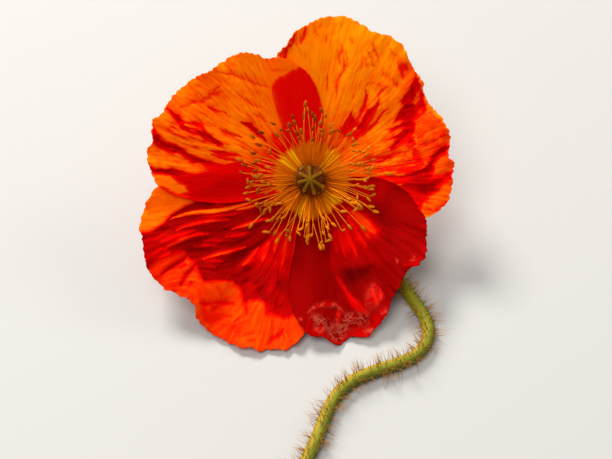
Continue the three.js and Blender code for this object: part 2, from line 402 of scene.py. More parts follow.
class NodeSheet:
    """A material's nodes, laid out with short calls."""

    def __init__(self, name: str) -> None:
        """Starts a material with an empty sheet of nodes."""
        self.material = bpy.data.materials.new(name)
        self.material.use_nodes = True
        self.tree = self.material.node_tree
        self.tree.nodes.clear()

    def add(self, kind: str, inputs: dict | None = None, **settings: object) -> bpy.types.Node:
        """Adds a node.

        Args:
            kind: the node's type, without its "ShaderNode" prefix.
            inputs: numbers, colours or sockets for its inputs, by their names or places.
            settings: the node's own properties.

        Returns:
            The new node.
        """
        node = self.tree.nodes.new("ShaderNode" + kind)
        for name, value in settings.items():
            setattr(node, name, value)
        for name, value in (inputs or {}).items():
            if isinstance(value, Socket):
                self.tree.links.new(value, node.inputs[name])
            else:
                node.inputs[name].default_value = value
        return node

    def layer(self, name: str) -> Socket:
        """The value that the mesh carries under a layer's name."""
        return self.add("Attribute", attribute_name=name).outputs["Fac"]

    def math(self, operation: str, first: object, second: object = 0.5) -> Socket:
        """The result of an operation on two values, each a number or a socket."""
        return self.add("Math", {0: first, 1: second}, operation=operation).outputs[0]

    def mix(self, share: object, first: object, second: object) -> Socket:
        """A colour between two others, each given as a colour or a socket."""
        ends = [clear_colour(end) if isinstance(end, tuple) else end for end in (first, second)]
        return self.add("Mix", {0: share, 6: ends[0], 7: ends[1]}, data_type="RGBA").outputs[2]

    def spread(self, value: object, start: Pair, goal: Pair = (0.0, 1.0)) -> Socket:
        """A value moved from one range to another, and kept inside it."""
        return self.add("MapRange", {0: value, 1: start[0], 2: start[1], 3: goal[0], 4: goal[1]}).outputs[0]

    def stirred(self, value: object, noise: object, amount: float, start: Pair = (0.3, 0.7)) -> Socket:
        """A value that a noise moves up or down by up to an amount."""
        return self.math("ADD", value, self.spread(noise, start, (-amount, amount)))

    def ramp(self, value: object, stops: tuple[tuple[float, Colour], ...]) -> Socket:
        """A colour read from a row of stops.

        Args:
            value: the socket that says where to read.
            stops: place and colour of each stop.

        Returns:
            The colour's socket.
        """
        node = self.add("ValToRGB", {0: value})
        elements = node.color_ramp.elements
        while len(elements) < len(stops):
            elements.new(0.5)
        for element, (place, colour) in zip(elements, stops):
            element.position = place
            element.color = clear_colour(colour)
        return node.outputs["Color"]

    def noise(self, where: object, scale: float, detail: float, roughness: float = 0.5) -> Socket:
        """Cloudy noise from 0 to 1 at a place."""
        inputs = {"Vector": where, "Scale": scale, "Detail": detail, "Roughness": roughness}
        return self.add("TexNoise", inputs).outputs[0]

    def grain(self, scale: float, detail: float, roughness: float = 0.5) -> Socket:
        """Cloudy noise from 0 to 1 over the object, at a scale for metres."""
        return self.noise(self.add("TexCoord").outputs["Object"], scale, detail, roughness)

    def plane(self, x: object, y: object, z: object = 0.0) -> Socket:
        """A place made of up to three values."""
        return self.add("CombineXYZ", {0: x, 1: y, 2: z}).outputs[0]

    def bump(self, height: object, distance: float, strength: float = 1.0) -> Socket:
        """A surface normal bent by a height."""
        return self.add("Bump", {"Height": height, "Distance": distance, "Strength": strength}).outputs[0]

    def body(self, colour: Socket, roughness: float, gloss: float, **inputs: Socket) -> Socket:
        """A plain surface with a colour, a roughness and a share of mirror-like shine."""
        inputs |= {"Base Color": colour, "Roughness": roughness, "Specular IOR Level": gloss}
        return self.add("BsdfPrincipled", inputs).outputs[0]

    def lit_through(self, share: float, body: Socket, colour: Socket, **inputs: Socket) -> Socket:
        """A surface that passes on a share of the light that falls on its other side."""
        through = self.add("BsdfTranslucent", {"Color": colour, **inputs}).outputs[0]
        return self.add("MixShader", {0: share, 1: body, 2: through}).outputs[0]

    def finish(self, shader: Socket) -> Material:
        """Puts a shader on the surface and returns the material."""
        self.add("OutputMaterial", {"Surface": shader})
        return self.material


def clear_colour(colour: Colour) -> tuple[float, float, float, float]:
    """A colour with full cover, as a colour socket takes it."""
    return (*colour, 1.0)


@dataclass(frozen=True)
class PetalFinish:
    """Thin silky petal tissue: translucent and veined, yellow at its base, with painted light and shade
    from lit-through orange to the deep red of shade and of places where it is doubled.
    """

    # The stops run from orange painted as lit through the tissue to the deep red of painted shade.
    stops: tuple[tuple[float, Colour], ...] = (
        (0.0, (1.0, 0.275, 0.0)), (0.25, (1.0, 0.15, 0.0)), (0.44, (0.9, 0.052, 0.0)),
        (0.54, (0.87, 0.0085, 0.0)), (0.64, (0.84, 0.0005, 0.0)), (0.74, (0.53, 0.0, 0.0)),
        (0.87, (0.31, 0.0, 0.0)), (1.0, (0.13, 0.0, 0.0)),
    )
    # gold is the base painted as lit through between the stamens.
    gold: Colour = (1.0, 0.60, 0.002)
    amber: Colour = (0.62, 0.115, 0.0)
    amber_light: Colour = (0.92, 0.27, 0.0)
    # pale is the colour of the painted sheen on the crinkled tissue.
    pale: Colour = (0.52, 0.095, 0.055)
    translucency: float = 0.30
    roughness: float = 0.58
    gloss: float = 0.012
    veins_per_degree: float = 0.85
    vein_length: float = 0.11
    vein_wander: float = 0.7
    cloud_scale: float = 240.0
    blot_scale: float = 330.0
    crack_scale: float = 650.0

    def veins(self, sheet: NodeSheet, cloud: Socket) -> tuple[Socket, Socket, Socket]:
        """Lays the veins, which run outward from the petal's base.

        Args:
            sheet: the sheet of nodes.
            cloud: noise that makes the veins wander.

        Returns:
            The broad veins, the fine veins between them, and a few thin threads, each from 0 to 1.
        """
        across = sheet.math("MULTIPLY", sheet.layer("turn"), self.veins_per_degree)
        outward = sheet.math("MULTIPLY", sheet.layer("span"), self.vein_length)
        wander = sheet.stirred(across, cloud, self.vein_wander, (0.2, 0.8))
        broad = sheet.plane(wander, outward)
        fine = sheet.plane(sheet.math("MULTIPLY", wander, 2.6), sheet.math("MULTIPLY", outward, 2.0))
        apart = sheet.math("MULTIPLY", across, 0.9)
        threads = sheet.plane(apart, sheet.math("MULTIPLY", outward, 1.5), 7.0)
        lines = ((broad, 3.0, 0.6), (fine, 2.0, 0.5), (threads, 1.5, 0.5))
        return tuple(sheet.noise(where, 1.0, detail, rough) for where, detail, rough in lines)

    def painted_sheen(self, sheet: NodeSheet) -> Socket:
        """Lays a painted sheen: a lace of fine lines with small blots, inside the layer "pale".

        Args:
            sheet: the sheet of nodes.

        Returns:
            The share of painted sheen, from 0 to 1.
        """
        blots = sheet.spread(sheet.grain(self.blot_scale, 3.0, 0.6), (0.50, 0.60), (0.0, 0.8))
        lace = sheet.math("SUBTRACT", sheet.grain(self.crack_scale, 3.0, 0.65), 0.5)
        lace = sheet.math("ABSOLUTE", lace)
        cracks = sheet.spread(lace, (0.012, 0.055), (1.0, 0.0))
        return sheet.math("MULTIPLY", sheet.layer("pale"), sheet.math("MAXIMUM", cracks, blots))

    def material(self) -> Material:
        """Lays out the petals' finish.

        Returns:
            The material.
        """
        sheet = NodeSheet("petal_silk")
        cloud = sheet.grain(self.cloud_scale, 4.0, 0.65)
        veins, fine, threads = self.veins(sheet, cloud)
        drift = sheet.stirred(sheet.spread(veins, (0.28, 0.72), (-0.15, 0.15)), fine, 0.10, (0.25, 0.75))
        drift = sheet.stirred(drift, cloud, 0.11)
        drift = sheet.math("ADD", drift, sheet.spread(threads, (0.62, 0.72), (0.0, 0.24)))
        drift = sheet.math("MULTIPLY", drift, sheet.layer("crepe"))
        tissue = sheet.ramp(sheet.math("ADD", sheet.layer("shade"), drift), self.stops)
        # The base is amber, painted gold where light shines through it between the stamens.
        glow = sheet.math("MULTIPLY", sheet.layer("gold"), sheet.spread(veins, (0.36, 0.54), (0.70, 1.0)))
        amber = sheet.mix(sheet.spread(veins, (0.4, 0.6)), self.amber, self.amber_light)
        coloured = sheet.mix(sheet.layer("basal"), tissue, sheet.mix(glow, amber, self.gold))
        # Painted sheen over the tissue's colour.
        colour = sheet.mix(self.painted_sheen(sheet), coloured, self.pale)
        relief = sheet.math("ADD", sheet.math("MULTIPLY", veins, 0.6), sheet.math("MULTIPLY", fine, 0.4))
        normal = sheet.bump(relief, 0.00016, 0.9)
        body = sheet.body(colour, self.roughness, self.gloss, Normal=normal)
        return sheet.finish(sheet.lit_through(self.translucency, body, colour, Normal=normal))


@dataclass(frozen=True)
class StamenFinish:
    """Waxy golden filaments and mealy ochre anthers, told apart by the layer "anther", with painted light
    and shade in their tone.
    """

    filament: Colour = (0.70, 0.110, 0.001)
    filament_pale: Colour = (0.92, 0.29, 0.003)
    anther: Colour = (0.25, 0.031, 0.001)
    anther_pale: Colour = (0.64, 0.19, 0.003)
    translucency: float = 0.2

    def material(self) -> Material:
        """Lays out the stamens' finish.

        Returns:
            The material.
        """
        sheet = NodeSheet("stamen_gold")
        tone = sheet.layer("tone")
        grain = sheet.grain(2600.0, 3.0, 0.65)
        thread = sheet.mix(tone, self.filament, self.filament_pale)
        meal = sheet.mix(sheet.stirred(tone, grain, 0.25), self.anther, self.anther_pale)
        colour = sheet.mix(sheet.layer("anther"), thread, meal)
        body = sheet.body(colour, 0.6, 0.04, Normal=sheet.bump(grain, 0.00008, 0.8))
        return sheet.finish(sheet.lit_through(self.translucency, body, colour))


@dataclass(frozen=True)
class StemFinish:
    """Satin green stem with painted light and shade: ochre painted along its sunny side, dark green on its
    shaded side, and paler on the cut.
    """

    shaded_green: Colour = (0.060, 0.070, 0.001)
    green: Colour = (0.175, 0.180, 0.002)
    ochre: Colour = (0.46, 0.26, 0.003)
    pith: Colour = (0.52, 0.55, 0.22)
    stripes_round: float = 26.0
    stripes_along: float = 20.0

    def material(self) -> Material:
        """Lays out the stem's finish.

        Returns:
            The material.
        """
        sheet = NodeSheet("stem_green")
        across = sheet.math("MULTIPLY", sheet.layer("round"), self.stripes_round)
        along = sheet.math("MULTIPLY", sheet.layer("along"), self.stripes_along)
        ridge = sheet.noise(sheet.plane(across, along), 1.0, 3.0, 0.6)
        speck = sheet.grain(1500.0, 2.0)
        # This layer paints sunlight and shade round the stem, and ochre on the receptacle's face.
        flush = sheet.stirred(sheet.layer("flush"), ridge, 0.06)
        flush = sheet.stirred(flush, sheet.grain(130.0, 4.0, 0.6), 0.05)
        colour = sheet.mix(sheet.spread(flush, (0.18, 0.62)), self.shaded_green, self.green)
        colour = sheet.mix(sheet.spread(flush, (0.66, 1.0), (0.0, 0.85)), colour, self.ochre)
        colour = sheet.mix(sheet.spread(speck, (0.62, 0.75), (0.0, 0.30)), colour, self.ochre)
        colour = sheet.mix(sheet.layer("cut"), colour, self.pith)
        relief = sheet.math("ADD", ridge, sheet.math("MULTIPLY", speck, 0.3))
        return sheet.finish(sheet.body(colour, 0.5, 0.25, Normal=sheet.bump(relief, 0.00010, 0.6)))


@dataclass(frozen=True)
class BristleFinish:
    """Stiff hairs, brown at the root and pale ochre at the tip."""

    name: str
    root: Colour
    tip: Colour

    def material(self) -> Material:
        """Lays out the bristles' finish.

        Returns:
            The material.
        """
        sheet = NodeSheet(self.name)
        grain = sheet.grain(700.0, 2.0)
        length = sheet.mix(sheet.layer("along"), self.root, self.tip)
        colour = sheet.mix(sheet.spread(grain, (0.3, 0.7), (0.0, 0.4)), length, self.root)
        return sheet.finish(sheet.body(colour, 0.7, 0.1, Normal=sheet.bump(grain, 0.00002, 0.5)))


@dataclass(frozen=True)
class OvaryFinish:
    """Matt brownish green ovary, darker in the grooves between its ribs."""

    groove: Colour = (0.055, 0.011, 0.001)
    rib: Colour = (0.125, 0.034, 0.002)

    def material(self) -> Material:
        """Lays out the ovary's finish.

        Returns:
            The material.
        """
        sheet = NodeSheet("ovary_green")
        grain = sheet.grain(1800.0, 3.0, 0.6)
        rise = sheet.stirred(sheet.layer("rib"), grain, 0.2)
        colour = sheet.mix(sheet.spread(rise, (0.0, 1.0)), self.groove, self.rib)
        return sheet.finish(sheet.body(colour, 0.7, 0.05, Normal=sheet.bump(grain, 0.00012, 0.9)))


@dataclass(frozen=True)
class StigmaFinish:
    """Velvety brown stigma, with olive rays that turn orange brown towards their tips."""

    valley: Colour = (0.120, 0.026, 0.001)
    crest: Colour = (0.155, 0.076, 0.002)
    tip: Colour = (0.38, 0.11, 0.002)

    def material(self) -> Material:
        """Lays out the stigma's finish.

        Returns:
            The material.
        """
        sheet = NodeSheet("stigma_velvet")
        grain = sheet.grain(3200.0, 2.0, 0.6)
        rise = sheet.stirred(sheet.layer("crest"), grain, 0.25)
        colour = sheet.mix(sheet.spread(rise, (0.0, 1.0)), self.valley, self.crest)
        colour = sheet.mix(sheet.layer("tip"), colour, self.tip)
        return sheet.finish(sheet.body(colour, 0.85, 0.03, Normal=sheet.bump(grain, 0.00015, 1.0)))


@dataclass(frozen=True)
class FloorFinish:
    """A plain pale matt surface."""

    colour: Colour = (0.43, 0.427, 0.42)
    cloud_shade: float = 0.97

    def material(self) -> Material:
        """Lays out the floor's finish.

        Returns:
            The material.
        """
        sheet = NodeSheet("pale_floor")
        shade = tuple(self.cloud_shade * part for part in self.colour)
        colour = sheet.mix(sheet.grain(3.0, 2.0), self.colour, shade)
        return sheet.finish(sheet.body(colour, 0.8, 0.2))


# ---- Petals ----


class Layer(Enum):
    """Whether a petal lies behind its neighbours or in front of them."""

    OUTER = 0
    INNER = 1


def near_path(sheet: Numbers, path: tuple[float, ...], reach: float) -> Numbers:
    """Which points of the sheet lie within reach of the box round a path."""
    corners = np.reshape(path, (-1, 2))
    return np.all((sheet > corners.min(axis=0) - reach) & (sheet < corners.max(axis=0) + reach), axis=1)


@dataclass(frozen=True)
class Fold:
    """A narrow fold of a petal, drawn from end to end on a sheet held flat under the flower.

    path holds the x and y of each of its points in turn. shade is the painted light and shade that it
    takes, high on a fold's shaded side and low on a lit ridge, height what it lifts the tissue by, and pale
    how much painted sheen it takes. Its ends taper unless they are blunt.
    """

    path: tuple[float, ...]
    width: float
    shade: float
    height: float = 0.0
    pale: float = 0.0
    blunt_start: bool = False
    blunt_end: bool = False

    def near(self, sheet: Numbers) -> Numbers:
        """Which points of the sheet lie close enough to feel the fold."""
        return near_path(sheet, self.path, 3 * self.width + 1.6)

    def profile(self, sheet: Numbers, grow: float) -> tuple[Numbers, Numbers]:
        """How strongly the fold is felt at points of the sheet.

        Args:
            sheet: one point in each row.
            grow: how much wider than drawn a fold is.

        Returns:
            How far the fold covers each point, and how far it lifts it, both from 0 to 1.
        """
        corners = np.reshape(self.path, (-1, 2))
        path = spline_points(corners, np.linspace(0.0, 1.0, 3 * len(corners)))
        distance, _, along = distance_to_path(sheet, path)
        strength = np.ones(len(sheet))
        for share, blunt in ((along, self.blunt_start), (1 - along, self.blunt_end)):
            if not blunt:
                strength *= np.clip(share * 2.6, 0.0, 1.0) ** 0.6
        width = (self.width + 0.5 * grow) * strength + 0.03
        cover = 1 - smooth_step(0.62, 1.38, distance / width)
        edge = 0.42 * strength * (1 - smooth_step(0.0, 1.0, distance / (1.5 * width + 0.75)))
        return np.maximum(cover, edge), strength * bump_at(0.0, 1.25 * width + 0.25, distance)


@dataclass(frozen=True)
class Patch:
    """A part of a petal inside an outline with painted shade, painted light or painted sheen of its own."""

    outline: tuple[float, ...]
    shade: float
    height: float = 0.0
    pale: float = 0.0
    softness: float = 0.28

    def near(self, sheet: Numbers) -> Numbers:
        """Which points of the sheet lie close enough to feel the patch."""
        return near_path(sheet, self.outline, 1.0 + self.softness)

    def profile(self, sheet: Numbers, grow: float) -> tuple[Numbers, Numbers]:
        """How strongly the patch is felt at points of the sheet.

        Args:
            sheet: one point in each row.
            grow: how much wider than drawn a patch is.

        Returns:
            How far the patch covers each point, and how far it lifts it, both from 0 to 1.
        """
        corners = np.reshape(self.outline + self.outline[:2], (-1, 2))
        distance, _, _ = distance_to_path(sheet, corners)
        x, y = sheet[:, 0], sheet[:, 1]
        inside = np.zeros(len(sheet), bool)
        for (x0, y0), (x1, y1) in zip(corners[:-1], corners[1:]):
            crosses = (y0 > y) != (y1 > y)
            rise = y1 - y0 if y1 != y0 else 1e-9
            inside ^= crosses & (x < x0 + (y - y0) * (x1 - x0) / rise)
        depth = np.where(inside, distance, -distance) + grow
        cover = smooth_step(-self.softness, self.softness, depth)
        edge = 0.42 * smooth_step(-self.softness - 0.95, self.softness, depth)
        return np.maximum(cover, edge), smooth_step(-0.2, 1.8, depth)


Mark = Fold | Patch


@dataclass(frozen=True)
class Bowl:
    """The shape that all four petals share: a shallow bowl whose rim waves, with one part that sags."""

    depth: float = 12.5
    reach: float = 52.0
    rim_radius: float = 45.0
    claw_radius: float = 4.75
    claw_drop: float = 1.3
    layer_steps: Pair = (0.8, 1.7)
    waves: tuple[Triple, ...] = ((7, 1.1, 20.0), (16, 0.7, 75.0))
    droop_angle: float = 286.0
    droop_width: float = 17.0
    droop_depth: float = 3.1
    sheet_pole: Pair = (-1.4, -14.1)
    sheet_reach: float = 484.0

    def height(self, radius: Numbers, angle: Numbers) -> Numbers:
        """Height of the outer petals' underside.

        Args:
            radius: distances from the flower's axis.
            angle: angles round it, in degrees.

        Returns:
            Heights over the receptacle's top face.
        """
        bowl = self.depth * (1 - np.cos(np.pi * np.minimum(radius / self.reach, 1.0))) / 2
        outward = (radius / self.rim_radius) ** 2
        waves = sum(size * np.sin(np.radians(lobes * angle + phase)) for lobes, size, phase in self.waves)
        from_droop = (angle - self.droop_angle + 540) % 360 - 180
        droop = self.droop_depth * bump_at(0.0, self.droop_width, from_droop)
        return bowl - self.claw_drop + outward * (waves - droop)

    def layer_step(self, radius: Numbers) -> Numbers:
        """How far the inner petals lie over the outer ones."""
        low, high = self.layer_steps
        return low + (high - low) * (radius - self.claw_radius) / (self.rim_radius - self.claw_radius)

    def on_sheet(self, plane: Numbers, height: Numbers) -> Numbers:
        """Where points of the bowl fall on the flat sheet that the folds are drawn on.

        Args:
            plane: the points in the flower's plane.
            height: their heights over it.

        Returns:
            The points on the sheet, a little further out because the bowl rises.
        """
        pole = np.array(self.sheet_pole)
        return pole + (plane - pole) * (self.sheet_reach / (self.sheet_reach - height))[:, None]


@dataclass
class Petal:
    """One petal: its outline round the flower's axis, its folds, and its painted light and shade."""

    name: str
    node: str
    layer: Layer
    outline: tuple[Pair, ...]
    seed: int
    # tint is each petal's painted light and shade: low for a petal painted lit through, high for one
    # painted in shade. doubled_shade is the painted shade where two petals overlap, and deepen adds painted
    # shade to the dark marks.
    tint: float = 0.1
    doubled_shade: float = 0.63
    fray: float = 0.5
    grow: float = 0.0
    fringe: float = 0.72
    scallop_height: float = 0.34
    mottle: float = 0.09
    deepen: float = 0.0
    # How much painted shade darkens the base under the stamens.
    flush: float = 0.0
    flow: Triple = (0.0, 1.0, 0.0)
    crepe: Triple = (1.0, 20.0, 1.0)
    marks: tuple[Mark, ...] = ()
    curls: tuple[Triple, ...] = ()
    gold: tuple[Pair, ...] = ()
    columns: int = 300
    rows: int = 125
    thickness: float = 0.2
    claw_spread: float = 0.82
    curl_width: float = 4.0
    pleat_height: float = 0.5
    crinkle_height: float = 0.22
    orange: float = 0.4
    red: float = 0.5
    free_edge: Pair = (-3.2, 0.3)
    doubled_edge: Pair = (-0.12, 0.22)
    shading_reach: Pair = (11.0, 20.0)
    basal_reach: Pair = (9.9, 11.2)
    relief_start: Pair = (7.0, 16.0)
    covered_relief: float = 0.12
    red_calm: float = 0.65
    calm_shades: Pair = (0.45, 0.6)
    ruffles: Pair = (24.0, 16.0)
    held_lift: float = 10.0
    bowl: Bowl = Bowl()

    def outline_path(self) -> Numbers:
        """The plain outline as points of the flower's plane."""
        angle, radius = spline_points(self.outline, np.linspace(0.0, 1.0, 160)).T
        return round_axis(radius, angle)

    def covers(self, plane: Numbers) -> Numbers:
        """How far inside this petal's outline points of the plane lie.

        Args:
            plane: one point in each row.

        Returns:
            A distance for each point, negative outside.
        """
        distance, side, _ = distance_to_path(plane, self.outline_path())
        first, last = self.outline[0][0], self.outline[-1][0]
        angle = np.degrees(np.arctan2(plane[:, 1], plane[:, 0]))
        middle = (first + last) / 2
        unrolled = middle + (angle - middle + 540) % 360 - 180
        inside = (unrolled > first) & (unrolled < last) & (side > 0)
        return np.where(inside, distance, -distance)

    def grid(self, noise: CrinkleNoise) -> tuple[Numbers, ...]:
        """The petal's points round the axis.

        Args:
            noise: the source of its scallops.

        Returns:
            Angles, radii and the margin's radius at each point, one row for each step outward.
        """
        angle, radius = spline_points(self.outline, np.linspace(0.0, 1.0, self.columns)).T
        flat = np.zeros(self.columns)
        tips = smooth_step(10.0, 30.0, radius)
        scallops = noise.smooth(angle / 2.6, flat + 9.1) + noise.smooth(angle / 1.1, flat + 21.7)
        radius = radius + tips * (self.fringe + self.scallop_height * scallops)
        middle = (self.outline[0][0] + self.outline[-1][0]) / 2
        claw = middle + (angle - middle) * self.claw_spread
        across = np.linspace(0.0, 1.0, self.rows)[:, None]
        angles = claw + (angle - claw) * across
        radii = self.bowl.claw_radius + (radius - self.bowl.claw_radius) * across
        return angles, radii, np.broadcast_to(radius, radii.shape)

    def pleats(self, noise: CrinkleNoise, angle: Numbers, radius: Numbers) -> tuple[Numbers, ...]:
        """Chance relief: soft pleats that run outward, and sharp crinkles over them.

        Args:
            noise: where the chance comes from.
            angle: angles round the axis, in degrees.
            radius: distances from it.

        Returns:
            How far the pleats wander sideways in degrees, and the pleats' and the crinkles' heights.
        """
        middle, width, rate = self.flow
        warp = rate * (radius - 22.0) * bump_at(middle, width, angle)
        warp = warp + 2.0 * noise.smooth(angle / 13.0, radius / 20.0)
        warp = warp + 0.4 * noise.smooth(angle / 5.0, radius / 9.0)
        sway = 5.0 * noise.smooth(angle / 10.0 + 40.0, radius / 11.0)
        turn = angle + warp
        soft = noise.smooth(turn / 6.5, radius / 21.0) + 0.5 * noise.smooth(turn / 3.1, radius / 15.0)
        sharp = noise.creased(turn / 3.2 + 7.0, (radius + sway) / 9.0)
        sharp += 0.6 * noise.creased(turn / 1.7 + 31.0, (radius + sway) / 4.5)
        return warp, soft, sharp / 1.3

    def frayed(self, noise: CrinkleNoise, sheet: Numbers, angle: Numbers, radius: Numbers) -> Numbers:
        """Shifts points of the sheet by chance, so that the folds drawn on it end in fingers.

        Args:
            noise: where the chance comes from.
            sheet: the points of the sheet.
            angle: their angles round the axis, in degrees.
            radius: their distances from it.

        Returns:
            The shifted points.
        """
        outward = round_axis(np.ones(len(angle)), angle)
        sideways = np.stack([-outward[:, 1], outward[:, 0]], axis=1)
        finger = noise.smooth(angle / 1.5 + 11.0, radius / 8.0)
        finger += 0.4 * noise.smooth(angle / 0.7, radius / 4.0)
        wobble = 0.44 * noise.smooth(angle / 4.0 + 50.0, radius / 1.7)
        wobble += 0.20 * noise.smooth(angle / 2.0, radius / 0.8)
        return sheet + self.fray * (outward * finger[:, None] + sideways * wobble[:, None])

    def roll(
        self, angle: Numbers, radius: Numbers, margin: Numbers, free: Numbers, noise: CrinkleNoise
    ) -> tuple[Numbers, Numbers]:
        """Rolls the margin up or down, and keeps its outermost line on the outline.

        Args:
            angle: angles round the axis, in degrees.
            radius: distances from it.
            margin: the margin's radius at each point.
            free: 1 where nothing lies over or under the petal, 0 where something does.
            noise: the source of small chance ruffles.

        Returns:
            The new radii, and the height that the roll adds.
        """
        flat = np.zeros(len(angle))
        broad, narrow = self.ruffles
        turn = broad * noise.smooth(angle / 4.6 + 60.0, flat + 1.5)
        turn = turn + narrow * noise.smooth(angle / 1.9, flat + 5.5)
        for middle, width, amount in self.curls:
            turn = turn + amount * bump_at(middle, width, angle)
        lift = self.held_lift if self.layer is Layer.INNER else 0.0
        turn = np.radians(turn * free + lift * (1 - free))
        turn = np.where(np.abs(turn) < 1e-3, 1e-3, turn)
        arc = self.curl_width / turn
        extent = np.abs(arc) * np.sin(np.minimum(np.abs(turn), np.pi / 2))
        depth = self.curl_width - (margin - radius)
        start = margin - self.curl_width
        bend = turn * np.maximum(depth, 0.0) / self.curl_width
        flat_part = radius * (margin - extent) / start
        rolled = np.where(depth > 0, margin - extent + arc * np.sin(bend), flat_part)
        return rolled, arc * (1 - np.cos(bend))

    def marked(self, sheet: Numbers, shade: Numbers) -> tuple[Numbers, ...]:
        """Adds the petal's own folds and patches.

        Args:
            sheet: the petal's points on the sheet that the marks are drawn on.
            shade: the painted shade before the marks.

        Returns:
            The painted shade, the relief and the painted sheen with the marks.
        """
        shade = shade.copy()
        relief = np.zeros(len(sheet))
        pale = np.zeros(len(sheet))
        for mark in self.marks:
            near = mark.near(sheet)
            if near.any():
                cover, swell = mark.profile(sheet[near], self.grow if mark.shade > self.red else 0.0)
                depth = mark.shade + (self.deepen if mark.shade > self.orange else 0.0)
                shade[near] += (depth - shade[near]) * cover
                relief[near] += mark.height * swell
                pale[near] += (mark.pale - pale[near]) * cover
        return shade, relief, pale

    def build(self, flower: FlowerFrame, others: list["Petal"], material: Material) -> Piece:
        """Makes the petal as a thin closed shell.

        Args:
            flower: the frame that the petal grows in.
            others: the petals that may lie over or under this one.
            material: its finish.

        Returns:
            The petal's object.
        """
        noise = CrinkleNoise(self.seed)
        angles, radii, margins = self.grid(noise)
        angle, radius, margin = angles.ravel(), radii.ravel(), margins.ravel()
        plane = round_axis(radius, angle)
        cover = np.max([other.covers(plane) for other in others], axis=0)
        free = 1 - smooth_step(*self.free_edge, cover)
        warp, soft, sharp = self.pleats(noise, angle, radius)
        outward = np.clip(radius / self.bowl.rim_radius, 0.0, 1.1)
        height = self.bowl.height(radius, angle) + self.thickness / 2
        doubled = np.zeros(len(radius))
        if self.layer is Layer.INNER:
            height = height + self.bowl.layer_step(radius)
            doubled = smooth_step(*self.doubled_edge, cover)
        calm = 0.1 + 0.9 * free
        # Painted shade: the petal's tint, deeper red near the base under the stamens, and deep red where
        # two petals overlap.
        flush = self.flush * (1 - smooth_step(*self.shading_reach, radius))
        shade = self.tint + flush - calm * self.mottle * (soft + sharp)
        shade = shade + doubled * (self.doubled_shade - shade)
        sheet = self.frayed(noise, self.bowl.on_sheet(plane, height), angle, radius)
        shade, folds, pale = self.marked(sheet, shade)
        relief = self.pleat_height * soft * outward**1.3 + self.crinkle_height * sharp * outward**0.7
        relief = (relief + folds) * smooth_step(*self.relief_start, radius)
        height = height + relief * (self.covered_relief + (1 - self.covered_relief) * free)
        rolled, lift = self.roll(angle, radius, margin, free, noise)
        middle = np.column_stack([round_axis(rolled, angle), height + lift])
        half = self.normals(middle.reshape(*angles.shape, 3)).reshape(-1, 3) * self.thickness / 2
        ragged = radius + 0.9 * soft + 0.8 * noise.smooth(angle / 2.0, radius / 9.0)
        near, bound, far = self.crepe
        crepe = (0.1 + 0.9 * calm) * (1 - self.red_calm * smooth_step(*self.calm_shades, shade))
        layers = {
            "turn": angle + warp,
            "span": radius,
            "shade": np.clip(shade, 0.0, 1.0),
            "basal": 1 - smooth_step(*self.basal_reach, ragged),
            "gold": self.claws(angle),
            "pale": pale,
            "crepe": crepe * (near + (far - near) * smooth_step(bound - 5, bound + 5, radius)),
        }
        layers = {name: np.tile(values, 2) for name, values in layers.items()}
        points = flower.place(np.concatenate([middle + half, middle - half]))
        shape = Shape(points, shell_faces(self.rows, self.columns), layers)
        return settle(shape.build(self.name, material), "petal", self.node)

    def claws(self, angle: Numbers) -> Numbers:
        """How far the base is painted gold, as if lit through, at angles round the axis."""
        return sum(
            1 - smooth_step(0.8 * width, 1.3 * width, np.abs(angle - place)) for place, width in self.gold
        )

    def normals(self, grid: Numbers) -> Numbers:
        """Directions square to a grid of points, on its upper side.

        Args:
            grid: points in rows and columns.

        Returns:
            A direction of length 1 for each point.
        """
        outward = np.gradient(grid, axis=0)
        sideways = np.gradient(grid, axis=1)
        normals = np.cross(outward, sideways)
        return normals / np.maximum(np.linalg.norm(normals, axis=2), 1e-9)[..., None]
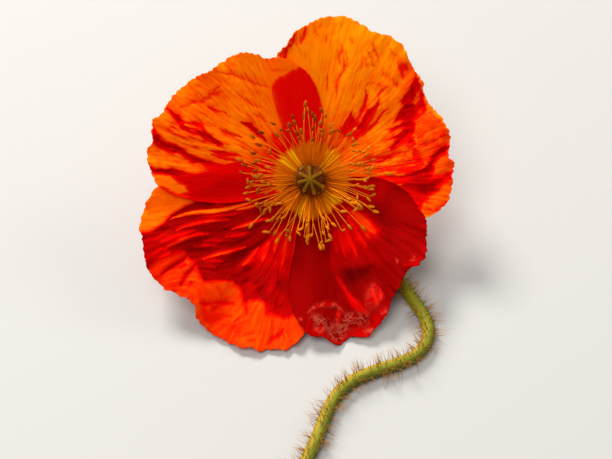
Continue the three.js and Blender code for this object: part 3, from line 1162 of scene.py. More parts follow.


# The petal painted brightest, as if lit through, whose left rim is rolled in and whose right half is
# gathered.
OUTER_RIGHT_OUTLINE: tuple[Pair, ...] = (
    (-30, 9), (-26, 22), (-21, 30), (-18, 33.6), (-14.5, 35.9), (-9.5, 37.9), (-3, 38.5), (3, 38.9),
    (6, 39.3), (10.5, 38.1), (15.5, 39.6), (22, 39.6), (28, 39.1), (33, 38.6), (38, 39.5), (43, 41),
    (48, 41.4), (55.5, 44.1), (61, 44.6), (67, 43.7), (70.5, 44.2), (78, 45.4), (84, 44.8), (90.5, 42.6),
    (95.5, 40.5), (100.5, 37.2), (105, 35.2), (109.5, 31.5), (114, 27.4), (116.6, 22.4), (120, 16),
    (124, 9),
)
# The marks paint the shade and light of the folds: dark on shaded sides, bright on lit ridges.
OUTER_RIGHT_MARKS: tuple[Mark, ...] = (
    Patch((-4, 26, -3, 40, 4, 46, 16, 46, 24, 40, 20, 32, 10, 27), 0.02, softness=3.0),
    Patch((35, 17, 39.5, 14, 42, 8, 42, -2, 38, -9, 35, -9, 38, -1, 37.6, 8), 0.4, softness=1.6),
    # The gathered fan between the middle and the right rim.
    Patch((15, -1, 22, -2, 30, -3, 32, 4, 30, 10, 27, 11, 22, 10, 15, 7), 0.41, softness=2.2),
    Patch((14, 12, 24, 16, 28, 15, 29, 10, 22, 8, 14, 8), 0.28, softness=2.2),
    Patch((13, 17, 17, 30, 26, 33, 30, 26, 24, 16, 16, 12), 0.14, softness=2.5),
    Patch((5, 14, 8, 19, 10, 20, 12, 17, 9, 13), 0.28, softness=1.5),
    Patch((25, 2, 31, 2.4, 37, 2, 39, -2, 33, -6, 27, -7, 23, -3), 0.7, softness=1.2),
    Fold((18, 6.4, 21, 6.4, 23.6, 7.4, 26, 8.1), 0.62, 0.56, -0.5),
    Fold((16, 5.2, 19.5, 5.3, 22, 5.9, 25, 7.0), 0.38, 0.53, -0.3),
    Fold((19, 10.3, 21, 11.2, 23.8, 11.9), 0.22, 0.5, -0.3),
    Fold((20, 3.4, 25, 4.1, 28.5, 4.7, 31, 4.7), 0.36, 0.56, -0.4),
    Fold((23, 2.6, 28, 3.2, 31, 3.5), 0.3, 0.6, -0.3),
    Fold((17, 2.3, 22, 2.6, 26, 3.5), 0.2, 0.5),
    Fold((19, 0.9, 24, 0.5, 28, 1.0, 31.5, 1.4), 0.6, 0.64, -0.4),
    Fold((17, 1.7, 22, 1.8, 26, 1.5, 29.4, 2.2), 0.22, 0.26, 0.3),
    Fold((24.5, -1.3, 27.3, -1.3, 30, -0.7), 0.22, 0.28, 0.3),
    Fold((27, -2.5, 29.8, -3.2, 31.4, -3.5), 0.25, 0.45),
    # The three flames of painted fold shade that rise from the middle.
    Patch((8.3, 14.4, 10, 17, 11.4, 18.8, 12.2, 17.2, 13.4, 16, 15.4, 15.4, 14.4, 13, 13, 11.5, 11, 11.2,
        9.3, 12.2), 0.62, -0.5),
    Fold((12.4, 15, 13.8, 18, 14.9, 20.5, 15.7, 22.6, 15.8, 24.2,
        15.5, 26.6), 0.46, 0.57, -0.5, blunt_start=True),
    Fold((15.5, 26.6, 16.2, 27.5, 18, 27.8), 0.28, 0.38),
    Patch((13, 14.6, 14.6, 17, 16, 20, 18.2, 21, 19.1, 22.4, 19.6, 22.3, 19.1, 20.4, 17.8, 19, 17.2, 17.2,
        16, 15.4, 14.4, 13.4), 0.62, -0.7),
    Fold((19.2, 22, 19.3, 24, 19.9, 25.2, 21.6, 26.4), 0.32, 0.52, -0.4),
    Fold((18, 26.8, 19.2, 27.2, 20.6, 26.9), 0.3, 0.42),
    Fold((14.4, 13, 17, 15, 18.8, 16.8, 20, 18.6, 22.2, 20.5), 0.4, 0.54, -0.4, blunt_start=True),
    # Lines in the wide upper part.
    Fold((8.1, 38.8, 9.1, 37.2, 8.4, 36, 8, 34.8, 8.3, 33.2, 8.4, 32), 0.42, 0.42, -0.35),
    Fold((10, 36.8, 9.5, 34.8, 9.4, 33, 9.6, 31.5, 8.6, 30, 7.6, 28.4, 7.2, 26.2, 7.3, 24.2,
        6.8, 22.6), 0.44, 0.44, -0.5),
    Fold((10.6, 35, 10.2, 32.8, 9.7, 31.3), 0.26, 0.4, -0.2),
    Fold((4.9, 30.4, 4.6, 28, 4.5, 25.4), 0.3, 0.34, -0.2),
    Fold((17.6, 39.1, 17.9, 37.4, 18.7, 36, 19, 34.6), 0.36, 0.42, -0.3),
    Fold((16, 36.8, 16.6, 35.3, 17.3, 34.8, 17.6, 33.2, 17.8, 31.8), 0.3, 0.4, -0.3),
    Fold((15.2, 34.8, 15.8, 32.8, 16.3, 31), 0.3, 0.33, -0.2),
    Fold((14.9, 36.4, 14.5, 33.2, 13.8, 31.3), 0.32, 0.3),
    Fold((11.6, 41.2, 11.7, 39.8, 12.2, 38.6), 0.35, 0.28),
    Fold((4.2, 41.4, 4.4, 39), 0.28, 0.32, -0.2),
    Fold((13.2, 29, 12.9, 26.8, 13.2, 25.4), 0.25, 0.27),
    Fold((14.4, 29, 14, 26.6, 14, 25.2), 0.22, 0.27),
    Fold((20, 31.4, 21.8, 29.6, 23.6, 27.8, 24.6, 25.8), 0.3, 0.42, -0.3),
    Fold((20.2, 30.2, 22, 28.6, 23.5, 27.9), 0.3, 0.36),
    Fold((22, 37.6, 23.4, 36, 24.6, 35), 0.3, 0.3),
    # The crushed right shoulder.
    Patch((24.4, 34.6, 26.5, 34.6, 28, 33.6, 30, 30.6, 29, 27.8, 27.2, 25.8, 25.8, 24.6, 25, 26.6,
        25.2, 29, 24.6, 31.6), 0.36, softness=0.7),
    Fold((24.5, 33.4, 25.6, 31.6, 26.1, 30, 26.1, 28.2), 0.36, 0.56, -0.5),
    Fold((25.6, 33.4, 26.8, 32.2, 27.9, 31.5), 0.62, 0.56, -0.4),
    Fold((24.9, 28.6, 24.5, 27.2, 24.5, 26), 0.28, 0.5, -0.3),
    Patch((25, 27.6, 25.6, 28.2, 26.1, 27.8, 25.6, 27.3), 0.1, 0.3, 0.35, 0.15),
    Patch((30, 30.3, 30.6, 28.3, 31.2, 26.8, 31.8, 24.6, 32.3, 22.5, 32.6, 20.6, 32.2, 19, 31.2, 18,
        30.1, 17.2, 29.7, 15.8, 29.5, 14.2, 29.1, 12.8, 28.2, 12.2, 27.2, 11.1, 26.2, 10.6, 25, 9.7,
        23.2, 8.8, 22.5, 9, 23.6, 10.3, 24.2, 11.4, 23.2, 12, 24.8, 12.8, 25.8, 13.9, 26.4, 14.8,
        24.8, 14.5, 23, 13.9, 22.2, 14.2, 24, 15.1, 25.6, 15.8, 26.6, 16.9, 25.2, 17, 23.9, 16.7,
        24.6, 18.4, 25.3, 20, 26.6, 21.4, 25.4, 22.2, 27, 24.2, 27.7, 26, 28.6, 27.4,
        29.6, 28.8), 0.68, -1.1, softness=0.24),
    Patch((28.7, 21, 28.8, 23, 30, 24.6, 31.2, 25.5, 30.9, 23.4, 30, 21.6), 0.36, 0.7),
    Patch((30, 18.6, 30.6, 19.9, 31.6, 20, 31.2, 18.7), 0.45, 0.3),
    Fold((26, 21.2, 28, 21, 30, 21.4), 0.3, 0.78, -0.3),
    Fold((28.4, 26.6, 29.4, 24.4, 28.4, 22), 0.5, 0.76, -0.3),
    Fold((27, 13.2, 28.8, 14.6, 29.3, 16.8), 0.5, 0.76, -0.3),
    # The right flap, with painted shade in its two broad folds.
    Patch((30, 17, 31.6, 18, 34, 20, 37, 17, 38.6, 13, 38, 10, 35, 7, 33.4, 4.4, 31.4, 5.4, 30.3, 8,
        29.8, 12), 0.44, 0.3, softness=0.4),
    Fold((26.4, 13, 27.8, 12, 28.7, 10.8, 29.1, 9.4), 0.9, 0.7, -0.3),
    Fold((34.1, 15, 34.6, 13.4, 35, 11.8, 35.8, 10.2, 36.3, 9.2), 0.36, 0.5, -0.3),
    Fold((31.2, 9.1, 33, 10.4, 34.6, 11.3), 0.26, 0.4, -0.2),
    Fold((31.8, 16.5, 32.4, 15.9), 0.5, 0.46),
    Fold((36.4, 12.2, 37.8, 13.4), 0.5, 0.52),
    Patch((29, 8.9, 30.1, 8.9, 30.7, 7.2, 31.4, 5.6, 32.3, 4.2, 30.6, 3.4, 29.6, 5.2,
        29.1, 7), 0.6, -0.6),
    Patch((27.4, 9.6, 29.3, 10, 29.3, 8.5, 27.8, 8.7), 0.56, -0.3),
    Patch((31, 1.6, 34.3, 1.5, 34.8, 0, 36, 0.2, 37.6, 1.4, 39.9, 2.5, 39.8, 0, 38, -0.8, 36.6, -2,
        35.2, -3.4, 33.6, -4.3, 32.3, -5.2, 31.6, -7.6, 31.2, -9.8, 28.4, -6, 27, -3, 26, -1.5, 27, -0.4,
        29, 0.6), 0.69, -0.7),
    Patch((31, -0.6, 33, -0.4, 35.6, -1.4, 35, -3, 32.6, -4.4, 30.8, -3), 0.77, softness=0.5),
    Patch((38.7, 10, 36.6, 9, 35, 7.1, 33.5, 5.2, 32.6, 3.6, 30.8, 2.6, 27.6, 1.4, 30.5, 1, 33, 1.3,
        34.5, 2, 35, 3.4, 35.6, 5.2, 36.4, 6.4, 38.6, 7.4), 0.74, -1.2, softness=0.22),
    Patch((35.1, 1.2, 36.6, 1.6, 39.9, 2.9, 39.9, 5, 38.4, 7, 36.5, 6, 35.5, 4), 0.4, 0.5),
    Patch((39.6, -0.7, 38.2, -1.2, 36.8, -2.4, 35.3, -3.8, 33.4, -4.8, 32.3, -7, 31.8, -9.8, 34, -10,
        37, -7.2, 39, -5), 0.38, 0.6),
    Fold((33.6, -9.9, 35.6, -8.7, 37.2, -7.3, 39, -5.8), 0.42, 0.54),
    # The rolled left rim, with the streaks below it.
    Fold((-8.6, 33, -7.4, 35, -6.3, 36.6, -5, 37.7), 0.55, 0.6, -0.2),
    Fold((-9.2, 35, -7.4, 36.5, -5.7, 37.6), 0.5, 0.5, 0.2, 0.5),
    Fold((-4.6, 40.6, -4.9, 38.8, -4.7, 37.2), 0.5, 0.56, -0.3),
    Fold((-6, 38.4, -5.7, 39.6, -5, 40.4), 0.5, 0.52),
    Fold((-1.6, 43.6, -1.8, 41.8, -2.3, 39.8, -2.9, 38), 0.36, 0.56, -0.4),
    Fold((-3, 41.5, -2.9, 39.6, -3, 37.6), 0.24, 0.42, -0.2),
    Fold((-4, 38, -4, 36.4), 0.3, 0.34),
    Fold((1.3, 43.8, 1.4, 42.4, 1.6, 41), 0.26, 0.44, -0.2),
    Fold((2.8, 44.8, 2.7, 43), 0.26, 0.4, -0.2),
)
OUTER_RIGHT = Petal(
    name="outer_right_petal", node="petal_outer_right", layer=Layer.OUTER, outline=OUTER_RIGHT_OUTLINE,
    marks=OUTER_RIGHT_MARKS, seed=11, tint=0.08, flush=0.33, grow=0.22, crepe=(1.3, 33.0, 0.5),
    gold=((41, 1.6), (47, 2), (53, 1.6), (59, 2)), columns=350,
    curls=((99, 6, 125), (22, 5, 35), (-8, 6, 35), (40, 6, -25)),
)

# The longest petal, gathered into deep folds in the middle and smooth along its lower margin.
OUTER_LEFT_OUTLINE: tuple[Pair, ...] = (
    (161, 9), (164, 18.5), (170.5, 25), (175.5, 28.5), (178, 33), (181, 38.5), (183.5, 42.6), (187, 45),
    (191, 47), (195.5, 49), (199, 48.9), (204, 50), (210.5, 51), (215.5, 50.4), (220.5, 48.6),
    (225, 46.9), (228, 47.5), (231, 49.5), (236, 50.4), (243, 50.2), (248, 50), (250.5, 48.9),
    (253, 49.2), (258, 47.8), (262.5, 46.9), (265.5, 44.2), (268, 41.8), (269.5, 38), (274, 35),
    (279, 31), (282, 26.4), (285.6, 20.8), (289, 17), (291, 9),
)
# The marks paint the shade and light of the folds: dark on shaded sides, bright on lit ridges.
OUTER_LEFT_MARKS: tuple[Mark, ...] = (
    Patch((-31, -5.8, -35, -7.1, -37.5, -8.5, -39.8, -9.9, -41.5, -12, -43.5, -13.4, -45.5, -14.9,
        -50, -15.4, -50, 2, -38, 2, -30, -2), 0.25, softness=0.3),
    Patch((-30, -5, -35, -7.1, -37.5, -8.5, -39.8, -9.9, -41.5, -12, -43.5, -13.4, -45.5, -14.9,
        -50, -15.4, -50, -21, -46, -21.6, -43, -20.6, -36, -20.2, -34.5, -22.5, -32.6, -24.4, -31.5, -27,
        -30.5, -29, -28.5, -28.6, -25, -28.7, -22.4, -28.8, -21.3, -29.7, -20.2, -30.2, -19.4, -32,
        -19.2, -34, -18.6, -35.6, -17.8, -34.3, -16.4, -33.7, -14.4, -33.8, -13, -34.6, -12.6, -36,
        -12.1, -38.2, -11, -37.2, -9.6, -38.2, -7.5, -38.9, -5.4, -38.4, -2, -36, 0, -10, -8, -6,
        -20, -4), 0.8, -0.2, softness=0.35),
    Patch((-50, -15.4, -43, -14.4, -38, -16, -35, -20, -40, -21.6, -44, -23, -47, -26,
        -50, -26), 0.75, softness=0.8),
    # Painted shade in the broad valleys.
    Fold((-11.5, -16.6, -16, -19.8, -20, -21.6, -24, -24.2, -27, -25.2), 1.7, 0.86, -1.2),
    Fold((-31.5, -14.2, -28, -14.6, -24, -14.5, -20.5, -14.1), 0.5, 0.85, -0.5),
    Fold((-36.5, -19.6, -32, -20.2, -28, -20.5, -24.5, -20.4), 0.85, 0.85, -0.7),
    Fold((-38.6, -19.2, -35, -17.9, -31, -17, -28.8, -16.4), 0.55, 0.83, -0.6),
    Fold((-26.5, -18.4, -22, -18.4, -17.5, -17, -14, -15), 0.9, 0.85, -0.6),
    Fold((-42.6, -19.4, -43.5, -17.4, -42, -15.2, -40, -13.6), 0.9, 0.79, -0.6),
    Fold((-39.6, -10.2, -37, -9, -34.6, -7.8, -30, -6.7), 0.6, 0.79, -0.5),
    Fold((-9.2, -28.8, -8.2, -30.4, -7.6, -32), 0.9, 0.83, -0.5),
    Fold((-14.6, -30, -14, -31.6, -13.6, -33.4), 1.0, 0.83, -0.5),
    Fold((-19.4, -25.6, -17.5, -26, -15.6, -27.2), 1.0, 0.82, -0.5),
    Fold((-13, -26.6, -11.8, -25.2, -10.8, -23.6), 0.6, 0.81, -0.4),
    Fold((-16, -9.2, -13, -9, -10, -8), 0.8, 0.79, -0.4),
    Fold((-20, -15.5, -15.4, -14, -11.6, -12.2), 0.6, 0.81, -0.5),
    # Painted light on the ridges between them.
    Fold((-40, -11.2, -37, -10.1, -34.5, -9.5, -31, -9.1, -27.5, -8.8, -24, -8.3, -21.5, -7.7,
        -18.5, -6.8, -14.5, -5.5), 0.5, 0.27, 1.1),
    Fold((-21.5, -8.5, -18.5, -7.9, -14.5, -6.9), 0.3, 0.32, 0.3),
    Fold((-38.4, -14.4, -36, -13.4, -33.5, -12.7, -30.5, -12.1, -27, -11.6,
        -23, -11.3), 0.3, 0.46, 0.8),
    Fold((-43, -17.9, -40, -16.6, -36.5, -15.4, -33.2, -14.3), 0.25, 0.58, 0.6),
    Fold((-41.6, -19, -39, -18, -36.4, -16.9, -34, -16.1, -32, -15.6, -29, -15.3), 0.3, 0.46, 0.7),
    Fold((-22.6, -14.1, -20.5, -13.5, -18.5, -13, -16.5, -12.3, -14.5, -11.6,
        -10.5, -10.6), 0.3, 0.47, 0.7),
    Fold((-31.4, -22.8, -28.5, -21.8, -26, -21.1, -23.5, -20.6, -21.2, -19.9,
        -18.4, -19.1), 0.3, 0.43, 0.8),
    Fold((-31, -17.1, -28, -17.3, -25, -17.3, -22, -16.9), 0.24, 0.66, 0.3),
    Fold((-27.8, -7, -26, -6.9, -24.2, -6.7), 0.24, 0.5, 0.2),
    Fold((-30.5, -23.2, -27.5, -22.8, -25, -23.4), 0.5, 0.66),
    # The fans of the lower left margin.
    Patch((-36.2, -21, -38.2, -21.8, -41, -22.8, -43.4, -24.2, -45.4, -25.6, -46.5, -27, -43.4, -28.4,
        -41, -25.4, -38.4, -23.7, -36.6, -22.2), 0.47, 0.5),
    Patch((-33, -23.2, -35.2, -24.3, -37.6, -25.3, -40.2, -26.6, -43, -28, -42, -31, -37, -31.6,
        -36.8, -29.6, -35.4, -26.8, -34, -25), 0.45, 0.5),
    Fold((-42.8, -27.2, -40.5, -25.2, -38, -23.8, -36.2, -22.5, -35, -21), 0.62, 0.73, -0.7),
    Fold((-37.4, -30.6, -36.4, -28.8, -35.2, -26.8, -33.6, -25.2, -32.4, -23.4), 0.5, 0.68, -0.6),
    Fold((-34.8, -30.6, -33.6, -28.6), 0.34, 0.55, -0.3),
    Fold((-37.6, -25.2, -36.4, -24.4, -35.4, -23.6), 0.25, 0.62),
    Fold((-43.4, -22.6, -41.6, -21.2, -39.8, -20.6), 0.3, 0.56),
    Fold((-45.4, -21.4, -43, -19.8, -40.6, -19.4), 0.26, 0.6),
    Fold((-44.8, -17.2, -43, -16, -41.4, -15.2), 0.24, 0.6),
    Fold((-33.6, -18.8, -30, -18.6, -27, -18.9), 0.22, 0.62, 0.3),
    Fold((-24.6, -16.2, -21, -15.9, -17.6, -14.6), 0.22, 0.62, 0.3),
    Fold((-33, -10.9, -28, -10.4, -23, -9.9, -19, -9), 0.2, 0.6, 0.3),
    # The red fan under the middle.
    Patch((-12, -16.3, -10.4, -14, -6, -12, -2, -12, -3, -22, -5, -29, -8, -27, -10, -24.4, -13, -25,
        -17, -24.9, -20.4, -24.7, -18, -22.4, -15.4, -20), 0.68, 0.3, softness=0.8),
    Fold((-19.8, -24.6, -18.2, -23.2, -16.4, -21.2, -14.8, -19), 0.34, 0.5, 0.4),
    Fold((-14, -23.4, -12.9, -20.5, -11.9, -17.4), 0.7, 0.52, 0.3),
    Fold((-10.5, -20.5, -9.6, -17.5, -8.4, -14.5), 0.5, 0.48, 0.2),
    Fold((-8.4, -24.6, -7.4, -20, -6.6, -15), 0.5, 0.5, 0.2),
    Fold((-3.9, -13, -4.4, -18, -5.3, -24), 0.35, 0.44, 0.2),
    Fold((-11, -23.5, -9.4, -20.4, -8.6, -17.4), 0.35, 0.68, -0.3),
    Fold((-16, -23.8, -14.8, -21.8, -13.6, -18.8), 0.3, 0.66, -0.3),
    Patch((-20.2, -30, -17, -28.9, -15.4, -29.8, -15, -32.6, -16.5, -33.4, -18.2, -33,
        -19, -33.4), 0.74, 0.3),
    Patch((-12.4, -33.4, -11.6, -29, -10.4, -27, -9.6, -31.6, -7.4, -33, -6.2, -34.8,
        -11, -35.2), 0.73, 0.2, softness=0.6),
    Patch((-11.4, -35.4, -9.5, -34.9, -6, -34.8, -4.8, -36.4, -5.5, -38.2, -7.6, -38.9, -9.6, -38.2,
        -11, -37.4), 0.73, -0.3),
    # Small folds along the smooth lower margin.
    Fold((-19, -34.4, -18.4, -36.4, -18.2, -38.4), 0.45, 0.54, -0.4),
    Fold((-12.7, -38.6, -12.2, -36, -11.8, -33.6), 0.55, 0.64, -0.5),
    Fold((-31.8, -35, -29.8, -35.3, -28.2, -35), 0.4, 0.62, -0.4),
    Fold((-28.2, -34.9, -25.6, -35, -23.6, -35.2, -21.8, -35.2), 0.55, 0.6, -0.4),
    Fold((-28.6, -37.8, -27.4, -36.6, -26.4, -35.4), 0.42, 0.52, -0.3),
    Fold((-25.2, -39.1, -23.4, -38.7, -22, -38.4), 0.34, 0.52, -0.3),
    Fold((-29, -40.4, -26, -40, -22.6, -39.8), 0.26, 0.46, -0.2),
    Fold((-22.1, -42.2, -21.2, -41.2), 0.34, 0.5, -0.2),
    Fold((-20.5, -40.9, -20.1, -39.8), 0.3, 0.48, -0.2),
    Fold((-19.4, -44.1, -17.6, -43.6, -15.6, -43.4), 0.34, 0.5, -0.3),
    Fold((-12.6, -46.9, -10.8, -45.2, -9.2, -44.2, -8.2, -42.8, -7.8, -41.8), 0.4, 0.58, -0.5),
    Fold((-18, -46, -16.6, -45.6, -15.6, -44.8), 0.3, 0.5, -0.2),
    Fold((-3.6, -41, -2, -41.8, -1.8, -43.2), 0.4, 0.52),
    Fold((-26.6, -30.4, -25.6, -32, -25.8, -33.6), 0.5, 0.46),
)
OUTER_LEFT = Petal(
    name="outer_left_petal", node="petal_outer_left", layer=Layer.OUTER, outline=OUTER_LEFT_OUTLINE,
    marks=OUTER_LEFT_MARKS, seed=23, tint=0.47, fray=0.14, mottle=0.03, deepen=0.04, flow=(219, 15, 0.9),
    crepe=(0.95, 36.0, 0.4), pleat_height=0.4, crinkle_height=0.16, gold=((250, 4.8), (259, 1.6)),
    columns=340, curls=((207, 8, 30), (245, 9, 35), (262, 6, 30)),
)

# The orange petal that lies over both outer ones, with painted shade in three folds from its left margin.
INNER_LEFT_OUTLINE: tuple[Pair, ...] = (
    (74, 9), (76.8, 13.6), (81, 19.6), (85, 23.5), (90.5, 28.2), (96.5, 31.2), (104, 34.2), (110, 34.8),
    (114, 37), (119, 39), (124, 40.2), (129, 40.1), (134, 40.3), (138.5, 42), (144, 43.2), (151, 44.3),
    (156, 44.3), (159.5, 45.6), (163, 45.4), (166.5, 44.2), (171, 45.3), (176, 44.2), (180, 42.8),
    (183, 41.5), (187.5, 37), (191.5, 31), (195.5, 24.5), (199, 17), (202, 9),
)
# The marks paint the shade and light of the folds: dark on shaded sides, bright on lit ridges.
INNER_LEFT_MARKS: tuple[Mark, ...] = (
    Patch((-9, 16, -13, 29, -22, 28, -27, 20, -17, 14), 0.19, softness=3.0),
    Patch((-40, 14, -40, 21, -35, 25, -29, 22, -29, 18, -34, 16), 0.31, softness=1.8),
    Patch((-40, -2.8, -38, 0.4, -33, 1.2, -30, 1.8, -24, 1.8, -14, 1, -8, -2, -16, -7, -26, -9,
        -36, -7), 0.71, softness=1.5),
    Patch((-13, 31, -11.2, 27.4, -10.2, 28.4, -6.4, 30.6, -3.9, 32, -2.6, 33, -7, 36,
        -12, 36), 0.24, softness=0.2),
    Patch((-46, 3.7, -42, 2.9, -39.5, 3.3, -37, 2.7, -35.2, 1.8, -33, 1.3, -30.5, 1.6, -28, 2.3, -26, 0,
        -34, -4, -35, -2.6, -37.2, -1.5, -38.2, -0.6, -38.9, 0.6, -40.5, 1.3, -44.6, 1.8), 0.69, -0.7),
    Patch((-44.6, 1.4, -40.5, 1, -38.9, 0.3, -38, -1.1, -35.9, -1.9, -35, -3.1, -36.8, -3.9, -38.5, -3.9,
        -40, -3.2, -42.6, -1.2, -44.6, 0), 0.22, 0.2, softness=0.2),
    Fold((-43, -1.6, -39.8, -3.3, -37.6, -4.6, -34, -4.7), 0.3, 0.53),
    Fold((-45, 3, -42.4, 2.5, -39.6, 2, -37, 1), 0.4, 0.76, -0.3),
    Patch((-29.6, 5.4, -27.5, 4.9, -24, 4.2, -24, 2.6, -28.2, 2.7,
        -30.4, 3.9), 0.64, -0.3, softness=0.35),
    # The lowest and broadest of the three folds.
    Patch((-44.9, 15, -43.6, 13, -42.6, 11.9, -41, 10.6, -38.8, 10.1, -37, 9.4, -35.5, 8.2, -33.6, 7.1,
        -31.6, 6.2, -29.5, 5.4, -27.4, 4.9, -29, 3.4, -31, 4.5, -32.5, 4.7, -34, 5.1, -35.5, 6.2,
        -36.8, 7.4, -38.5, 7.7, -40.5, 7.8, -42.2, 8.8, -43.5, 9.9,
        -45.4, 11), 0.67, -1.1, softness=0.22),
    Fold((-44.2, 12.4, -42, 10.6, -39, 9.2, -36, 8, -33.4, 6.2, -30.6, 5.4), 0.45, 0.73, -0.3),
    Fold((-38.5, 9.2, -40.4, 8.8), 0.35, 0.64, 0.2),
    # The middle fold and its branch.
    Patch((-41.2, 20.4, -39.4, 19.1, -38, 18.3, -36.8, 17, -35.6, 15.6, -34.6, 15.1, -33, 14.4,
        -31.8, 13.7, -30.6, 13.2, -28.6, 12.9, -27.6, 11.9, -26.4, 10.9, -24.8, 9.7, -26.4, 9.8,
        -28.5, 10.9, -30.5, 11.9, -32, 12.8, -33.5, 13.1, -34.8, 13.6, -36.6, 14.6, -37.8, 16,
        -39.3, 18), 0.73, -1.2, softness=0.22),
    Fold((-36.6, 17.1, -34.8, 16.1, -33, 15.9, -31.4, 15.5, -30.6, 14.6,
        -30.3, 13), 0.5, 0.66, -0.5, blunt_end=True),
    Fold((-36, 15.9, -34.4, 15.2, -32.6, 14.9), 0.26, 0.34, 0.3),
    Fold((-34.6, 14.4, -33, 13.9, -31.8, 13.4), 0.2, 0.46, 0.2),
    # Finer lines.
    Fold((-37.8, 20.6, -35.5, 21, -33.4, 22, -31, 22.5, -29, 24, -27.4, 25.2,
        -25.3, 26.8), 0.4, 0.52, -0.4),
    Fold((-29.6, 22.9, -27, 24.2, -24.8, 25), 0.28, 0.46, -0.2),
    Fold((-36.2, 20.6, -35.4, 19.4), 0.3, 0.4),
    Fold((-30.2, 21.3, -28.5, 20.4, -26.5, 19.6, -23.6, 19), 0.4, 0.57, -0.4),
    Fold((-28.6, 19.4, -26.4, 18.8, -24.4, 18.4), 0.3, 0.36),
    Fold((-26.4, 14.7, -24.2, 13.8, -22.2, 12.9, -19.2, 12.1), 0.36, 0.54, -0.4),
    Fold((-20.2, 16.7, -18, 15.8, -16.2, 14.5, -14.6, 12.9, -12.4, 10.8), 0.68, 0.71, -0.6),
    Fold((-29, 8.5, -26.5, 7.8, -23.5, 7.6, -19.6, 6.9), 0.5, 0.64, -0.4),
    Fold((-28.4, 7.2, -26, 6.5, -23, 5.9, -19, 5.3), 0.4, 0.59, -0.3),
    Fold((-28, 8.2, -25, 7.2, -21, 6.8), 0.22, 0.64),
    Fold((-43.4, 16.7, -41, 15, -39, 13.2, -36.5, 12.3, -33, 12, -30, 11), 0.32, 0.4, 0.4),
    Fold((-38, 13, -35, 12.9, -32, 12.4), 0.22, 0.42),
    Fold((-21, 25, -18.8, 22.8, -16.8, 21.4, -14, 20.6), 0.3, 0.42, -0.3),
    Fold((-28, 30.2, -22.5, 30, -18.2, 28.5, -14, 27, -11.2, 26.1), 0.42, 0.42, -0.5),
    Fold((-12.2, 31.4, -9, 31.2, -6, 31.8), 0.3, 0.4, -0.2),
    Fold((-16.5, 18.6, -14, 17.6, -12, 16), 0.3, 0.36, -0.2),
    Fold((-25, 28.4, -22.6, 26.8, -20.6, 26.4), 0.25, 0.32),
    Fold((-34.6, 10.4, -31.6, 9.6, -28.6, 9.4), 0.22, 0.34, 0.2),
    Fold((-41.6, 6.6, -39, 5.6, -36.4, 5.6), 0.3, 0.32, 0.2),
    Fold((-33.4, 5, -31.6, 4, -31, 3), 0.3, 0.42),
)
INNER_LEFT = Petal(
    name="inner_left_petal", node="petal_inner_left", layer=Layer.INNER, outline=INNER_LEFT_OUTLINE,
    marks=INNER_LEFT_MARKS, seed=37, tint=0.25, flush=0.42, grow=0.25, mottle=0.1,
    crepe=(1.25, 36.0, 0.9), gold=((126, 4.6), (144, 5)),
    curls=((112, 6, 22), (133, 4, 55), (150, 8, -20), (168, 6, 30)),
)
